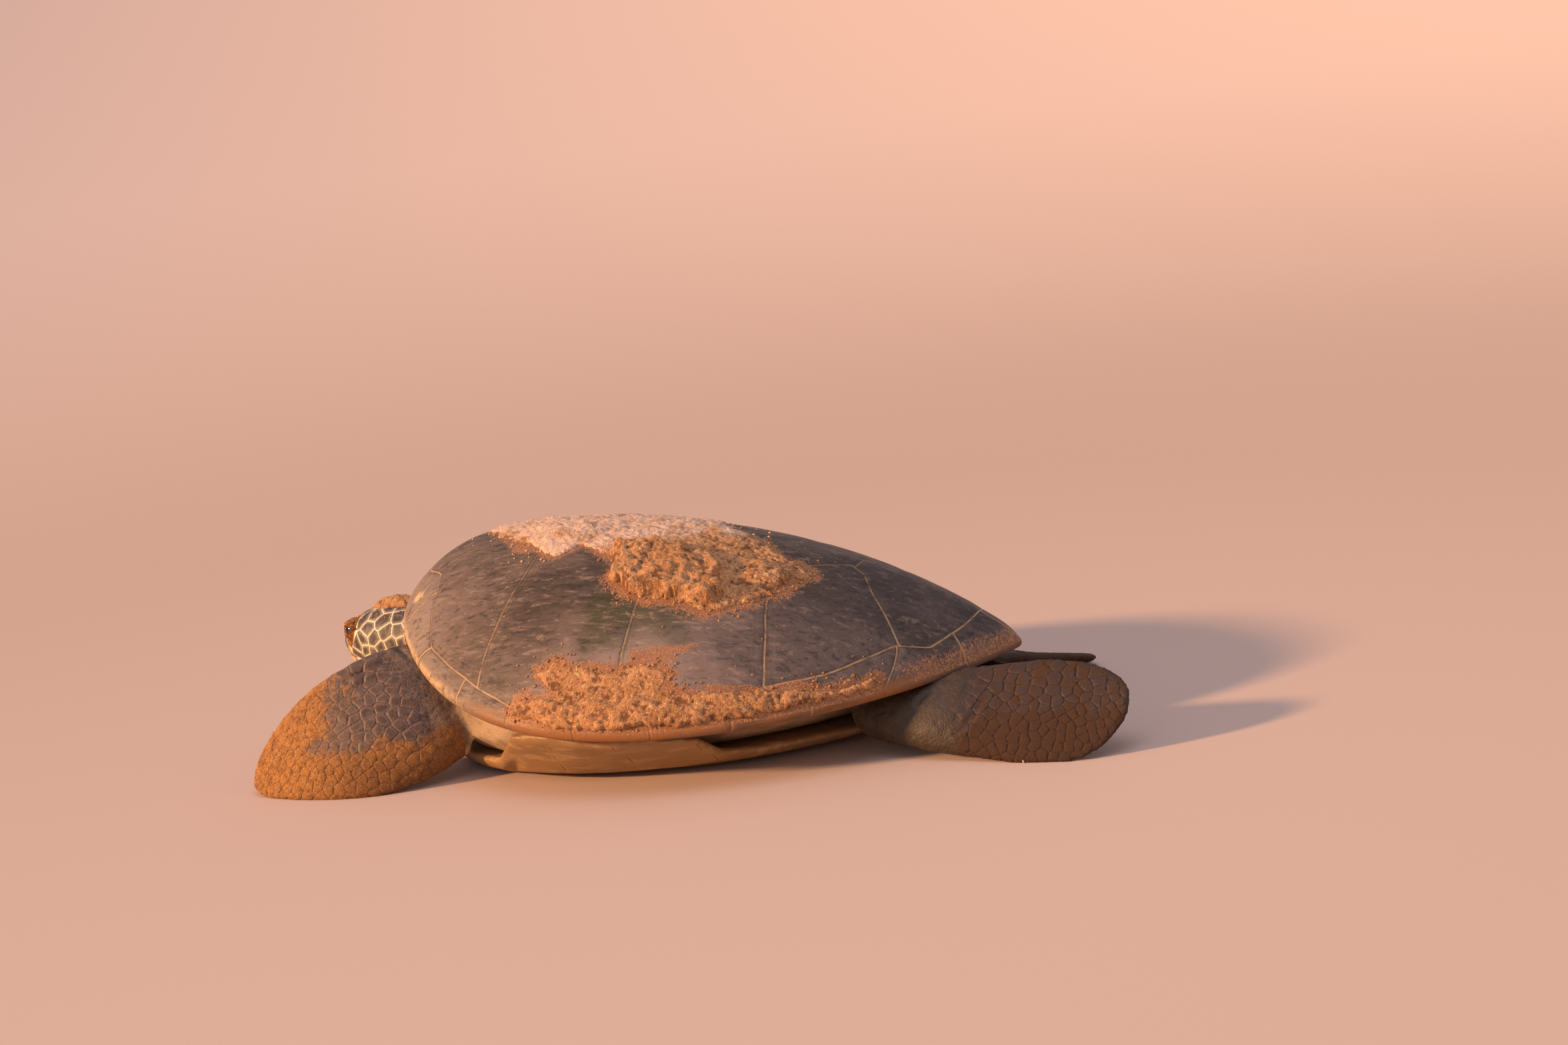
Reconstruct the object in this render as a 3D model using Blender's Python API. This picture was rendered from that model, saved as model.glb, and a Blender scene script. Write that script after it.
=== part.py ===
"""Green sea turtle, life size, hauling itself over a beach: the still model's solids.

Metres, +Z up. The head faces -Y and the left side is +X. The origin is on the
floor, in the flat of the plastron that the body rests on.

The shell and the trunk inside it share one family of rays, drawn in plan from
the top of the dome to the rim, so that every wall keeps its gap to the next.
The head, neck, limbs and tail are lofts of oval rings along a bent axis, cut
back where they enter the shell.
"""

from math import cos, exp, pi, radians, sin

import bmesh
import bpy
from mathutils import Matrix, Vector

# ---- driving dimensions -------------------------------------------------

SHELL_LENGTH = 0.95       # straight length of the carapace, nuchal edge to tip
SHELL_HALF_WIDTH = 0.369
FRONT_OF_ORIGIN = 0.47    # share of the shell that lies in front of the origin
BLUNTNESS_FRONT = 0.59    # exponents of the plan outline: low is blunt
BLUNTNESS_REAR = 0.75
BLUNTNESS_CREST = 0.55    # the same at the top of the dome, which has no point
NUCHAL_NOTCH = 0.007      # how far the rim dips in over the neck
NOTCH_WIDTH = 0.055

APEX_SHARE = 0.244        # where the dome is highest, as a share of its length
APEX_HEIGHT = 0.329
ARCH_FRONT = 2.967        # how boxy the dome's profile is, by direction
ARCH_SIDE = 2.141
ARCH_REAR = 2.084
ARCH_SOFTNESS = 0.838

RIM_LOW = 0.086           # height of the rim: a low side, a raised front, a lifted tip
RIM_FRONT_RISE = 0.149
RIM_FRONT_REACH = 0.211
RIM_FRONT_FADE = 1.27
RIM_TIP_RISE = 0.037

SECTORS = 48              # rays in the whole turn
SHELL_WALL = 0.012
GAP = 0.0004              # between neighbouring solids
PLASTRON_TOP = 0.030
EYE_RADIUS = 0.0185

# Colour and roughness of each kind of surface.
SHELL_HORN = ((0.20, 0.17, 0.13), 0.55)
BELLY_HORN = ((0.66, 0.55, 0.34), 0.55)
SKIN = ((0.23, 0.20, 0.18), 0.60)
BEAK_HORN = ((0.58, 0.50, 0.36), 0.45)
CLAW_HORN = ((0.30, 0.22, 0.14), 0.40)
EYE_WET = ((0.03, 0.02, 0.015), 0.10)

SIDES = ((1, "left"), (-1, "right"))

RAY_CENTRE = Vector((0.0, (APEX_SHARE - FRONT_OF_ORIGIN) * SHELL_LENGTH, 0.0))


# ---- small tools --------------------------------------------------------

def mix(a, b, share):
    return a + (b - a) * share


def smooth_step(low, high, value):
    share = min(1.0, max(0.0, (value - low) / (high - low)))
    return share * share * (3 - 2 * share)


def material(name, colour, roughness):
    made = bpy.data.materials.new(name)
    made.use_nodes = True
    shader = made.node_tree.nodes["Principled BSDF"]
    shader.inputs["Base Color"].default_value = (*colour, 1.0)
    shader.inputs["Roughness"].default_value = roughness
    shader.inputs["Metallic"].default_value = 0.0
    return made


def object_from(name, bm, finish=None):
    """A new object from a bmesh, its normals facing out, shaded smooth, with its own material."""
    bmesh.ops.recalc_face_normals(bm, faces=bm.faces)
    if bm.calc_volume(signed=True) < 0:
        bmesh.ops.reverse_faces(bm, faces=bm.faces)
    mesh = bpy.data.meshes.new(name)
    bm.to_mesh(mesh)
    bm.free()
    mesh.shade_smooth()
    made = bpy.data.objects.new(name, mesh)
    bpy.context.collection.objects.link(made)
    if finish:
        mesh.materials.append(material(name, *finish))
    return made


def bmesh_of(obj):
    """The object's mesh with its modifiers applied, as a bmesh."""
    bpy.context.view_layer.update()
    bm = bmesh.new()
    bm.from_object(obj, bpy.context.evaluated_depsgraph_get())
    return bm


def twin(obj, name):
    """A second object with its own copy of the mesh and of the modifiers."""
    made = obj.copy()
    made.data = obj.data.copy()
    made.name = name
    bpy.context.collection.objects.link(made)
    return made


def as_cutter(obj):
    obj.display_type = "WIRE"
    obj.hide_render = True
    return obj


def boolean(obj, cutter, operation="DIFFERENCE"):
    cut = obj.modifiers.new(operation.title(), "BOOLEAN")
    cut.operation = operation
    cut.solver = "EXACT"
    cut.object = cutter
    return obj


def side_by_side(bm, rings):
    """Quads between neighbouring rings of points, with flat caps on the ends."""
    rows = [[bm.verts.new(point) for point in ring] for ring in rings]
    count = len(rows[0])
    for lower, upper in zip(rows, rows[1:]):
        for i in range(count):
            after = (i + 1) % count
            bm.faces.new((lower[i], lower[after], upper[after], upper[i]))
    bm.faces.new(list(reversed(rows[0])))
    bm.faces.new(rows[-1])


def half_of(bm, point, normal):
    """Keeps what lies behind the plane and closes the cut."""
    cut = bmesh.ops.bisect_plane(
        bm,
        geom=[*bm.verts, *bm.edges, *bm.faces],
        plane_co=point,
        plane_no=normal,
        clear_outer=True,
    )
    edges = [e for e in cut["geom_cut"] if isinstance(e, bmesh.types.BMEdge)]
    bmesh.ops.edgeloop_fill(bm, edges=edges)
    return bm


# ---- the shell's own shape ----------------------------------------------

def half_width(share, rear):
    """Half the width of the shell at a share of its length, blunter for a low rear."""
    widest = BLUNTNESS_FRONT / (BLUNTNESS_FRONT + rear)
    full = widest**BLUNTNESS_FRONT * (1 - widest) ** rear
    here = share**BLUNTNESS_FRONT * (1 - share) ** rear
    return SHELL_HALF_WIDTH * here / full


def rim_height(share):
    front = RIM_FRONT_RISE * exp(-((share / RIM_FRONT_REACH) ** RIM_FRONT_FADE))
    return RIM_LOW + front + RIM_TIP_RISE * share**4


def rim_point(sector, rear=BLUNTNESS_REAR):
    """The rim at one of the rays: 0 is over the neck, half way round is the tip."""
    angle = 2 * pi * sector / SECTORS
    share = (1 - cos(angle)) / 2
    side = 1 if sin(angle) >= 0 else -1
    x = side * half_width(share, rear)
    y = (share - FRONT_OF_ORIGIN) * SHELL_LENGTH
    if share < 0.5:
        y += NUCHAL_NOTCH * exp(-((x / NOTCH_WIDTH) ** 2))
    return Vector((x, y, rim_height(share)))


RIM = [rim_point(sector) for sector in range(SECTORS)]


def arch(sector):
    """The exponent of the dome's profile along one ray."""
    ray = RIM[sector] - RAY_CENTRE
    along = ray.y / ray.xy.length
    other = ARCH_REAR if along > 0 else ARCH_FRONT
    return mix(ARCH_SIDE, other, along * along)


def on_ray(sector, reach, height):
    """A point over the ray, reach being 0 at the centre and 1 at the rim."""
    flat = RAY_CENTRE.lerp(RIM[sector], reach)
    return Vector((flat.x, flat.y, height))


def dome(sector, reach, inset=0.0):
    """The outer face of the carapace, or a face that is inset below it."""
    rim = RIM[sector].z
    rise = (1 - reach ** arch(sector)) ** ARCH_SOFTNESS
    shrink = 1 - inset / (SHELL_HALF_WIDTH * 0.95)
    outline = rim_point(sector, mix(BLUNTNESS_CREST, BLUNTNESS_REAR, reach * reach))
    flat = RAY_CENTRE.lerp(outline, reach * shrink)
    return Vector((flat.x, flat.y, mix(rim, APEX_HEIGHT, rise) - inset))


def bridge(sector):
    """1 where the plastron joins the carapace at the sides, 0 at the openings."""
    share = RIM[sector].y / SHELL_LENGTH + FRONT_OF_ORIGIN
    return smooth_step(0.24, 0.34, share) * (1 - smooth_step(0.60, 0.72, share))


def pole(height):
    return Vector((0.0, RAY_CENTRE.y, height))


def shell_of_revolution(name, top, profile, bottom, finish=None):
    """A closed solid: a pole, rings over the rays from profile(sector), a pole.

    Every quad is split from its lower ring to its higher one, mirrored from side
    to side, so that two walls a gap apart stay a gap apart all over.
    """
    bm = bmesh.new()
    spokes = [profile(sector) for sector in range(SECTORS)]
    rings = [[spoke[k] for spoke in spokes] for k in range(len(spokes[0]))]
    rows = [[bm.verts.new(point) for point in ring] for ring in rings]
    for first, second in zip(rows, rows[1:]):
        rising = sum(vert.co.z for vert in second) > sum(vert.co.z for vert in first)
        for i in range(SECTORS):
            after = (i + 1) % SECTORS
            a, b, c, d = first[i], first[after], second[after], second[i]
            if rising == (i < SECTORS / 2):
                halves = ((a, b, c), (a, c, d))
            else:
                halves = ((a, b, d), (b, c, d))
            for half in halves:
                bm.faces.new(half)
    for row, point in ((rows[0], top), (rows[-1], bottom)):
        tip = bm.verts.new(point)
        for i in range(SECTORS):
            bm.faces.new((row[i], row[(i + 1) % SECTORS], tip))
    return object_from(name, bm, finish)


OUTER_RINGS = (0.12, 0.25, 0.38, 0.50, 0.61, 0.71, 0.80, 0.87, 0.93, 0.97, 0.99)
INNER_RINGS = (0.955, 0.88, 0.76, 0.55, 0.28)


def lip(sector):
    """The rounded edge of the rim and its narrow underside."""
    rim = RIM[sector].z
    return [
        on_ray(sector, 1.0, rim),
        on_ray(sector, 1.004, rim - 0.006),
        on_ray(sector, 0.996, rim - 0.012),
        on_ray(sector, 0.975, rim - 0.015),
        on_ray(sector, 0.925, rim - 0.013),
    ]


def carapace():
    def profile(sector):
        outside = [dome(sector, reach) for reach in OUTER_RINGS]
        inside = [dome(sector, reach, SHELL_WALL) for reach in INNER_RINGS]
        return [*outside, *lip(sector), *inside]

    ceiling = pole(APEX_HEIGHT - SHELL_WALL)
    return shell_of_revolution("carapace", pole(APEX_HEIGHT), profile, ceiling, SHELL_HORN)


def trunk_side(sector, grow=0.0):
    """The soft wall between the carapace and the plastron, bottom to top."""
    rim, joined = RIM[sector].z, bridge(sector)
    return [
        on_ray(sector, 0.70 + grow, PLASTRON_TOP + 0.0035),
        on_ray(sector, mix(0.815, 0.745, joined) + grow, mix(0.062, 0.045, joined)),
        on_ray(sector, mix(0.880, 0.850, joined) + grow, rim - 0.024),
    ]


def trunk():
    """The body inside the shell, ring for ring in the same order as the carapace."""
    wall = SHELL_WALL + 2 * GAP

    def profile(sector):
        inside = [dome(sector, reach, wall) for reach in INNER_RINGS]
        shoulder = on_ray(sector, 0.905, RIM[sector].z - 0.002)
        return [*trunk_side(sector), shoulder, *inside]

    floor = pole(PLASTRON_TOP + 0.0035)
    return shell_of_revolution("trunk", floor, profile, pole(APEX_HEIGHT - wall), SKIN)


def plastron_edge(sector):
    """The belly plate's turned-up edge: outer wall, lip and inner wall."""
    rim, joined = RIM[sector].z, bridge(sector)
    return [
        on_ray(sector, mix(0.70, 0.74, joined), mix(0.004, 0.012, joined)),
        on_ray(sector, mix(0.775, 0.86, joined), mix(0.014, mix(0.012, rim, 0.45), joined)),
        on_ray(sector, mix(0.80, 0.925, joined), mix(0.024, rim - 0.030, joined)),
        on_ray(sector, mix(0.80, 0.935, joined), mix(0.030, rim - 0.0185, joined)),
        on_ray(sector, mix(0.785, 0.885, joined), mix(0.033, rim - 0.0185, joined)),
        on_ray(sector, mix(0.745, 0.775, joined), mix(PLASTRON_TOP, 0.036, joined)),
    ]


def plastron():
    def profile(sector):
        flat = [on_ray(sector, reach, 0.0) for reach in (0.35, 0.62)]
        top = [on_ray(sector, reach, PLASTRON_TOP) for reach in (0.69, 0.35)]
        return [*flat, *plastron_edge(sector), *top]

    return shell_of_revolution("plastron", pole(0.0), profile, pole(PLASTRON_TOP), BELLY_HORN)


def body_core():
    """All that the shell and trunk fill, grown by a gap: what limbs are cut back by."""
    def profile(sector):
        outside = [dome(sector, reach, -2 * GAP) for reach in OUTER_RINGS]
        edge = [
            point + (point - pole(point.z)).normalized() * GAP + Vector((0, 0, side * GAP))
            for point, side in zip(lip(sector), (1, 0, -1, -1, -1))
        ]
        side = trunk_side(sector, grow=0.0025)
        joined = bridge(sector)
        rim = RIM[sector].z
        belly = [
            on_ray(sector, mix(0.815, 0.94, joined), mix(0.034, rim - 0.017, joined)),
            on_ray(sector, mix(0.815, 0.94, joined), mix(0.022, rim - 0.033, joined)),
            on_ray(sector, mix(0.785, 0.87, joined), mix(0.012, mix(0.010, rim, 0.43), joined)),
            on_ray(sector, mix(0.71, 0.75, joined), mix(0.002, 0.010, joined)),
            on_ray(sector, 0.63, -GAP),
            on_ray(sector, 0.35, -GAP),
        ]
        waist = side[2] if joined < 0.5 else on_ray(sector, 0.93, rim - 0.0165)
        middle = side[1] if joined < 0.5 else on_ray(sector, 0.94, rim - 0.0168)
        return [*outside, *edge, waist, middle, *belly]

    top, bottom = pole(APEX_HEIGHT + GAP), pole(-GAP)
    return as_cutter(shell_of_revolution("core_cutter", top, profile, bottom))


# ---- soft parts: rings along a bent axis --------------------------------

def oval(centre, across, up, half_across, above, below, count, squareness=1.0):
    """A ring round a centre: half_across to each side, its own height above and below."""
    ring = []
    for i in range(count):
        angle = 2 * pi * i / count
        c, s = cos(angle), sin(angle)
        c = (1 if c >= 0 else -1) * abs(c) ** squareness
        s = (1 if s >= 0 else -1) * abs(s) ** squareness
        ring.append(centre + across * (half_across * c) + up * ((above if s > 0 else below) * s))
    return ring


def loft(name, rings, finish=None):
    """A closed skin over the rings, smoothed by one level of subdivision."""
    bm = bmesh.new()
    side_by_side(bm, rings)
    made = object_from(name, bm, finish)
    smoother = made.modifiers.new("Smooth", "SUBSURF")
    smoother.levels = 1
    smoother.render_levels = 1
    return made


def parted(obj, near_name, far_name, point, normal, finish):
    """Two objects in place of one, either side of a thin cut."""
    near, far = bmesh_of(obj), bmesh_of(obj)
    bpy.data.objects.remove(obj)
    normal = Vector(normal).normalized()
    half_of(near, Vector(point) - normal * GAP / 2, normal)
    half_of(far, Vector(point) + normal * GAP / 2, -normal)
    return object_from(near_name, near, finish), object_from(far_name, far, finish)


def floor_cutter():
    """A slab below the floor: it gives whatever touches the floor a small flat."""
    bm = bmesh.new()
    bmesh.ops.create_cube(bm, size=2.4, matrix=Matrix.Translation((0, 0, -1.2)))
    return as_cutter(object_from("floor_cutter", bm))


# The head's own frame: forward along the muzzle, left, and up.
HEAD_TURN = radians(18)   # towards the right side
HEAD_DIP = radians(5)
HEAD_ORIGIN = Vector((-0.002, -0.447, 0.168))
HEAD_LEVEL = Vector((-sin(HEAD_TURN), -cos(HEAD_TURN), 0.0))
HEAD_FORWARD = HEAD_LEVEL * cos(HEAD_DIP) - Vector((0, 0, sin(HEAD_DIP)))
HEAD_LEFT = Vector((cos(HEAD_TURN), -sin(HEAD_TURN), 0.0))
HEAD_UP = HEAD_FORWARD.cross(HEAD_LEFT)

# Distance along the muzzle, half width, height above and depth below the axis, squareness.
HEAD_RINGS = (
    (0.000, 0.056, 0.044, 0.056, 1.00),
    (0.028, 0.064, 0.050, 0.066, 0.95),
    (0.058, 0.068, 0.053, 0.070, 0.92),
    (0.088, 0.067, 0.053, 0.068, 0.90),
    (0.116, 0.060, 0.049, 0.062, 0.90),
    (0.140, 0.050, 0.040, 0.055, 0.92),
    (0.160, 0.038, 0.027, 0.048, 0.95),
    (0.175, 0.025, 0.014, 0.040, 1.00),
    (0.184, 0.012, 0.002, 0.030, 1.00),
)
NECK_RINGS = (  # centre, half width, height above, depth below
    (Vector((0.0, -0.300, 0.130)), 0.150, 0.070, 0.080),
    (Vector((0.0, -0.355, 0.135)), 0.140, 0.064, 0.080),
    (Vector((0.0, -0.400, 0.144)), 0.108, 0.060, 0.080),
    (Vector((0.0, -0.428, 0.155)), 0.072, 0.052, 0.070),
)
EYE_ALONG, EYE_ASIDE, EYE_ABOVE = 0.126, 0.0365, 0.018

# Outlines in the head's side view, (along, above): the jaw, and the horn on each jaw.
JAW = ((0.098, -0.030), (0.112, -0.0275), (0.140, -0.0225), (0.20, -0.016), (0.20, -0.10), (0.086, -0.10))
UPPER_BEAK = ((0.116, -0.0250), (0.20, 0.006), (0.20, -0.06), (0.116, -0.06))
LOWER_BEAK = ((0.126, -0.020), (0.20, -0.010), (0.20, -0.10), (0.160, -0.10))


def in_head(along, aside, above):
    return HEAD_ORIGIN + HEAD_FORWARD * along + HEAD_LEFT * aside + HEAD_UP * above


def head_and_neck():
    rings = []
    for centre, wide, above, below in NECK_RINGS:
        turn = smooth_step(-0.33, -0.45, centre.y)
        across = Vector((1, 0, 0)).lerp(HEAD_LEFT, turn).normalized()
        up = Vector((0, 0.0, 1)).lerp(HEAD_UP, turn).normalized()
        rings.append(oval(centre, across, up, wide, above, below, 12))
    for along, wide, above, below, square in HEAD_RINGS:
        rings.append(
            oval(in_head(along, 0, 0), HEAD_LEFT, HEAD_UP, wide, above, below, 12, square)
        )
    throat = in_head(0.004, 0, 0)
    return parted(loft("head_whole", rings), "neck", "head", throat, HEAD_FORWARD, SKIN)


def wedge(name, outline, grow=0.0):
    """A prism right through the head, over an outline in its side view."""
    middle = sum((Vector(point) for point in outline), Vector((0, 0))) / len(outline)
    spread = [Vector(point) + (Vector(point) - middle).normalized() * grow for point in outline]
    bm = bmesh.new()
    side_by_side(bm, [[in_head(p.x, aside, p.y) for p in spread] for aside in (-0.1, 0.1)])
    return as_cutter(object_from(name, bm))


def taken_from(obj, name, outline, finish):
    """Takes what lies in the wedge off an object, as an object of its own."""
    piece = twin(obj, name)
    piece.data.materials[0] = material(name, *finish)
    boolean(piece, wedge(f"{name}_taker", outline), "INTERSECT")
    boolean(obj, wedge(f"{name}_room", outline, 2 * GAP))
    return piece


def eyeball(name, side, finish=None, radius=EYE_RADIUS):
    centre = in_head(EYE_ALONG, side * EYE_ASIDE, EYE_ABOVE)
    bm = bmesh.new()
    bmesh.ops.create_uvsphere(
        bm, u_segments=14, v_segments=8, radius=radius, matrix=Matrix.Translation(centre)
    )
    return object_from(name, bm, finish)


# A limb's rings, from inside the shell to the tip: a point on the leading edge,
# a point on the trailing edge, and half the thickness between the two faces.
FRONT_LIMB = (
    ((0.100, -0.290, 0.175), (0.120, -0.190, 0.085), 0.052),
    ((0.165, -0.375, 0.190), (0.185, -0.235, 0.058), 0.053),
    ((0.205, -0.428, 0.191), (0.250, -0.272, 0.024), 0.047),
    ((0.240, -0.482, 0.172), (0.300, -0.310, 0.004), 0.037),
    ((0.270, -0.534, 0.132), (0.334, -0.368, -0.006), 0.026),
    ((0.288, -0.572, 0.088), (0.348, -0.432, -0.008), 0.017),
    ((0.298, -0.593, 0.050), (0.346, -0.500, -0.008), 0.012),
    ((0.305, -0.598, 0.024), (0.334, -0.555, -0.002), 0.008),
    ((0.312, -0.595, 0.010), (0.322, -0.580, 0.003), 0.005),
)
LEFT_HIND_LIMB = (
    ((0.070, 0.280, 0.108), (0.160, 0.280, 0.034), 0.040),
    ((0.082, 0.350, 0.116), (0.184, 0.345, 0.022), 0.040),
    ((0.094, 0.420, 0.112), (0.200, 0.415, 0.010), 0.035),
    ((0.100, 0.478, 0.110), (0.206, 0.470, 0.004), 0.026),
    ((0.100, 0.532, 0.119), (0.215, 0.525, -0.004), 0.017),
    ((0.097, 0.585, 0.122), (0.222, 0.580, -0.008), 0.012),
    ((0.100, 0.637, 0.114), (0.214, 0.632, -0.004), 0.009),
    ((0.116, 0.672, 0.098), (0.192, 0.667, 0.024), 0.007),
    ((0.142, 0.690, 0.078), (0.168, 0.687, 0.052), 0.005),
)
RIGHT_HIND_LIMB = (
    ((0.080, 0.290, 0.098), (0.150, 0.250, 0.052), 0.040),
    ((0.110, 0.352, 0.090), (0.208, 0.300, 0.038), 0.038),
    ((0.140, 0.400, 0.072), (0.248, 0.334, 0.022), 0.032),
    ((0.170, 0.440, 0.056), (0.282, 0.362, 0.012), 0.024),
    ((0.202, 0.478, 0.044), (0.318, 0.388, 0.004), 0.016),
    ((0.238, 0.514, 0.036), (0.350, 0.418, -0.003), 0.012),
    ((0.276, 0.540, 0.028), (0.370, 0.452, -0.004), 0.009),
    ((0.310, 0.548, 0.018), (0.374, 0.486, 0.000), 0.007),
    ((0.338, 0.540, 0.010), (0.362, 0.518, 0.004), 0.005),
)
ELBOW = 3                 # the ring where a limb is parted in two
LIMB_SIDES = 10           # points in a limb's ring, before it is smoothed

# The place and the heading of each claw, on the left side.
FRONT_CLAW = ((0.2925, -0.5640, 0.0940), (-0.33, -0.77, 0.54))
LEFT_HIND_CLAW = ((0.2125, 0.5450, 0.0098), (0.60, 0.30, -0.40))
RIGHT_HIND_CLAW = ((0.332, 0.4083, 0.0048), (0.75, -0.55, -0.10))
CLAW_LENGTH = 0.017
CLAW_RADIUS = 0.0045


def limb_rings(table, side):
    """The table's rings on the left side or, mirrored, on the right."""
    def placed(point):
        return Vector(point) * Vector((side, 1, 1))

    rings = []
    middles = [(placed(lead) + placed(trail)) / 2 for lead, trail, _ in table]
    for i, (lead, trail, thick) in enumerate(table):
        axis = middles[min(i + 1, len(table) - 1)] - middles[max(0, i - 1)]
        half = (placed(trail) - placed(lead)) / 2
        flat = axis.cross(half).normalized()
        rings.append(oval(middles[i], half.normalized(), flat, half.length, thick, thick, LIMB_SIDES))
    return rings


def limb(table, side, near_name, far_name):
    """A limb in two solids, parted at one of its rings."""
    rings = limb_rings(table, side)
    middle = {step: sum(rings[ELBOW + step], Vector()) / len(rings[0]) for step in (-1, 0, 1)}
    whole = loft("limb_whole", rings)
    return parted(whole, near_name, far_name, middle[0], middle[1] - middle[-1], SKIN)


def claw(name, spot, side, finish=None, grow=0.0):
    """A short horn cone on the edge of a flipper, its root sunk in the flesh."""
    place, heading = (Vector(part) * Vector((side, 1, 1)) for part in spot)
    turn = Vector((0, 0, 1)).rotation_difference(heading).to_matrix().to_4x4()
    bm = bmesh.new()
    bmesh.ops.create_cone(
        bm,
        cap_ends=True,
        segments=10,
        radius1=CLAW_RADIUS + grow,
        radius2=CLAW_RADIUS * 0.2 + grow,
        depth=CLAW_LENGTH + 2 * grow,
        matrix=Matrix.Translation(place) @ turn,
    )
    return object_from(name, bm, finish)


def tail():
    rings = []
    for y, z, wide, high in (
        (0.360, 0.084, 0.046, 0.036),
        (0.410, 0.080, 0.036, 0.029),
        (0.455, 0.075, 0.026, 0.022),
        (0.495, 0.070, 0.017, 0.015),
        (0.522, 0.066, 0.009, 0.008),
    ):
        rings.append(oval(Vector((0, y, z)), Vector((1, 0, 0)), Vector((0, 0, 1)), wide, high, high, 8))
    return loft("tail", rings, SKIN)


def main():
    for obj in list(bpy.data.objects):
        bpy.data.objects.remove(obj)

    core = body_core()
    floor = floor_cutter()
    carapace()
    plastron()
    trunk()

    neck, head = head_and_neck()
    boolean(neck, core)
    for side, word in SIDES:
        boolean(head, as_cutter(eyeball(f"socket_{word}", side, radius=EYE_RADIUS + GAP)))
        eyeball(f"eye_{word}", side, EYE_WET)
    jaw = taken_from(head, "lower_jaw", JAW, SKIN)
    taken_from(head, "beak_upper", UPPER_BEAK, BEAK_HORN)
    taken_from(jaw, "beak_lower", LOWER_BEAK, BEAK_HORN)

    hind_tables = {"left": LEFT_HIND_LIMB, "right": RIGHT_HIND_LIMB}
    hind_claws = {"left": LEFT_HIND_CLAW, "right": RIGHT_HIND_CLAW}
    for side, word in SIDES:
        front = limb(FRONT_LIMB, side, f"front_arm_{word}", f"front_flipper_{word}")
        hind = limb(hind_tables[word], side, f"hind_leg_{word}", f"hind_flipper_{word}")
        for (near, far), spot, name in (
            (front, FRONT_CLAW, f"front_claw_{word}"),
            (hind, hind_claws[word], f"hind_claw_{word}"),
        ):
            boolean(near, core)
            boolean(far, floor)
            boolean(far, as_cutter(claw(f"{name}_room", spot, side, grow=GAP)))
            claw(name, spot, side, CLAW_HORN)

    boolean(tail(), core)


main()
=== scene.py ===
# %% [markdown]
# # A green sea turtle, life size
# A grown female hauls herself over a beach, sand still on her shell. The solid
# model is fixed; this lesson gives it its looks. It goes in the order in which
# a model maker would work: the stage, the shell, the skin, the scales, the
# eyes and horn, and last the sand that has stuck to her.

# %% Load the solids
from math import atan2, cos, pi, radians, sin, sqrt, tan

import bmesh
import bpy
import numpy as np
from mathutils import Matrix, Vector, noise
from mathutils.bvhtree import BVHTree
from mathutils.kdtree import KDTree


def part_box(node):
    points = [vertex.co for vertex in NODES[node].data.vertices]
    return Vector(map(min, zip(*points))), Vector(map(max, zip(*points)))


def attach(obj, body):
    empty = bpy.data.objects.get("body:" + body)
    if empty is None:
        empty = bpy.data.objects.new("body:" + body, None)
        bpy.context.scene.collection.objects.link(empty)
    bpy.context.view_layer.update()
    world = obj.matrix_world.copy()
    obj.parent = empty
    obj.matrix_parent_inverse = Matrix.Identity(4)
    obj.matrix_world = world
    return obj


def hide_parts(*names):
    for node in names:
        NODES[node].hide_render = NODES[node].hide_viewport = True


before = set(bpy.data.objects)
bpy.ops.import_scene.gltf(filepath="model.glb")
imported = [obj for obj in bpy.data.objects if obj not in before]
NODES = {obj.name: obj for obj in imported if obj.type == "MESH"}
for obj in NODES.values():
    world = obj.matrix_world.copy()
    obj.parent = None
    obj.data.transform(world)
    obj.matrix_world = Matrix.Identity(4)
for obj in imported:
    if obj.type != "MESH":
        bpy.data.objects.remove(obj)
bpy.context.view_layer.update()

# %% [markdown]
# ## The camera
# The eye stands behind the turtle's left side, a little above the top of the
# shell, and leans by a few degrees. A camera's own axes are the columns of its
# matrix: right, up, and backwards. A plain 50 mm lens keeps the turtle's
# proportions, and there is no shift and no depth of field.

# %% Camera
CAMERA_PLACE = Vector((2.97, 1.26, 0.80))
# How far it looks to the front of straight across the body, how far down, and how far it leans.
CAMERA_HEADING, CAMERA_TILT, CAMERA_LEAN = radians(20.2), radians(8.8), radians(6.5)

lens = bpy.data.cameras.new("camera")
lens.lens, lens.sensor_width = 50.0, 36.0
lens.clip_start, lens.clip_end = 0.05, 60.0
camera = bpy.data.objects.new("camera", lens)
bpy.context.collection.objects.link(camera)
level = Vector((-sin(CAMERA_HEADING), cos(CAMERA_HEADING), 0))
ahead = Vector((-cos(CAMERA_HEADING), -sin(CAMERA_HEADING), 0)) * cos(CAMERA_TILT)
ahead.z = -sin(CAMERA_TILT)
upright = level.cross(ahead)
right = level * cos(CAMERA_LEAN) - upright * sin(CAMERA_LEAN)
turn = Matrix((right, right.cross(ahead), -ahead)).transposed()
camera.matrix_world = Matrix.Translation(CAMERA_PLACE) @ turn.to_4x4()
bpy.context.scene.camera = camera
print("camera looks along", [round(v, 3) for v in ahead])

# %% [markdown]
# ## Four small helpers
# Colours are written as hex codes, as a paint card gives them, but the render
# works in linear light, so one function turns them. A second adds a node with
# its settings and its links. A third makes an object from a bmesh and lets it
# ride on the model. A fourth starts a material, with the place of a point on the
# object, in metres, which every pattern here reads.

# %% Helpers
def linear(code):
    """An sRGB hex colour as linear red, green, blue and alpha."""
    parts = [int(code[i:i + 2], 16) / 255 for i in (1, 3, 5)]
    return (*((p / 12.92 if p <= 0.04045 else ((p + 0.055) / 1.055) ** 2.4) for p in parts), 1.0)


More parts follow.
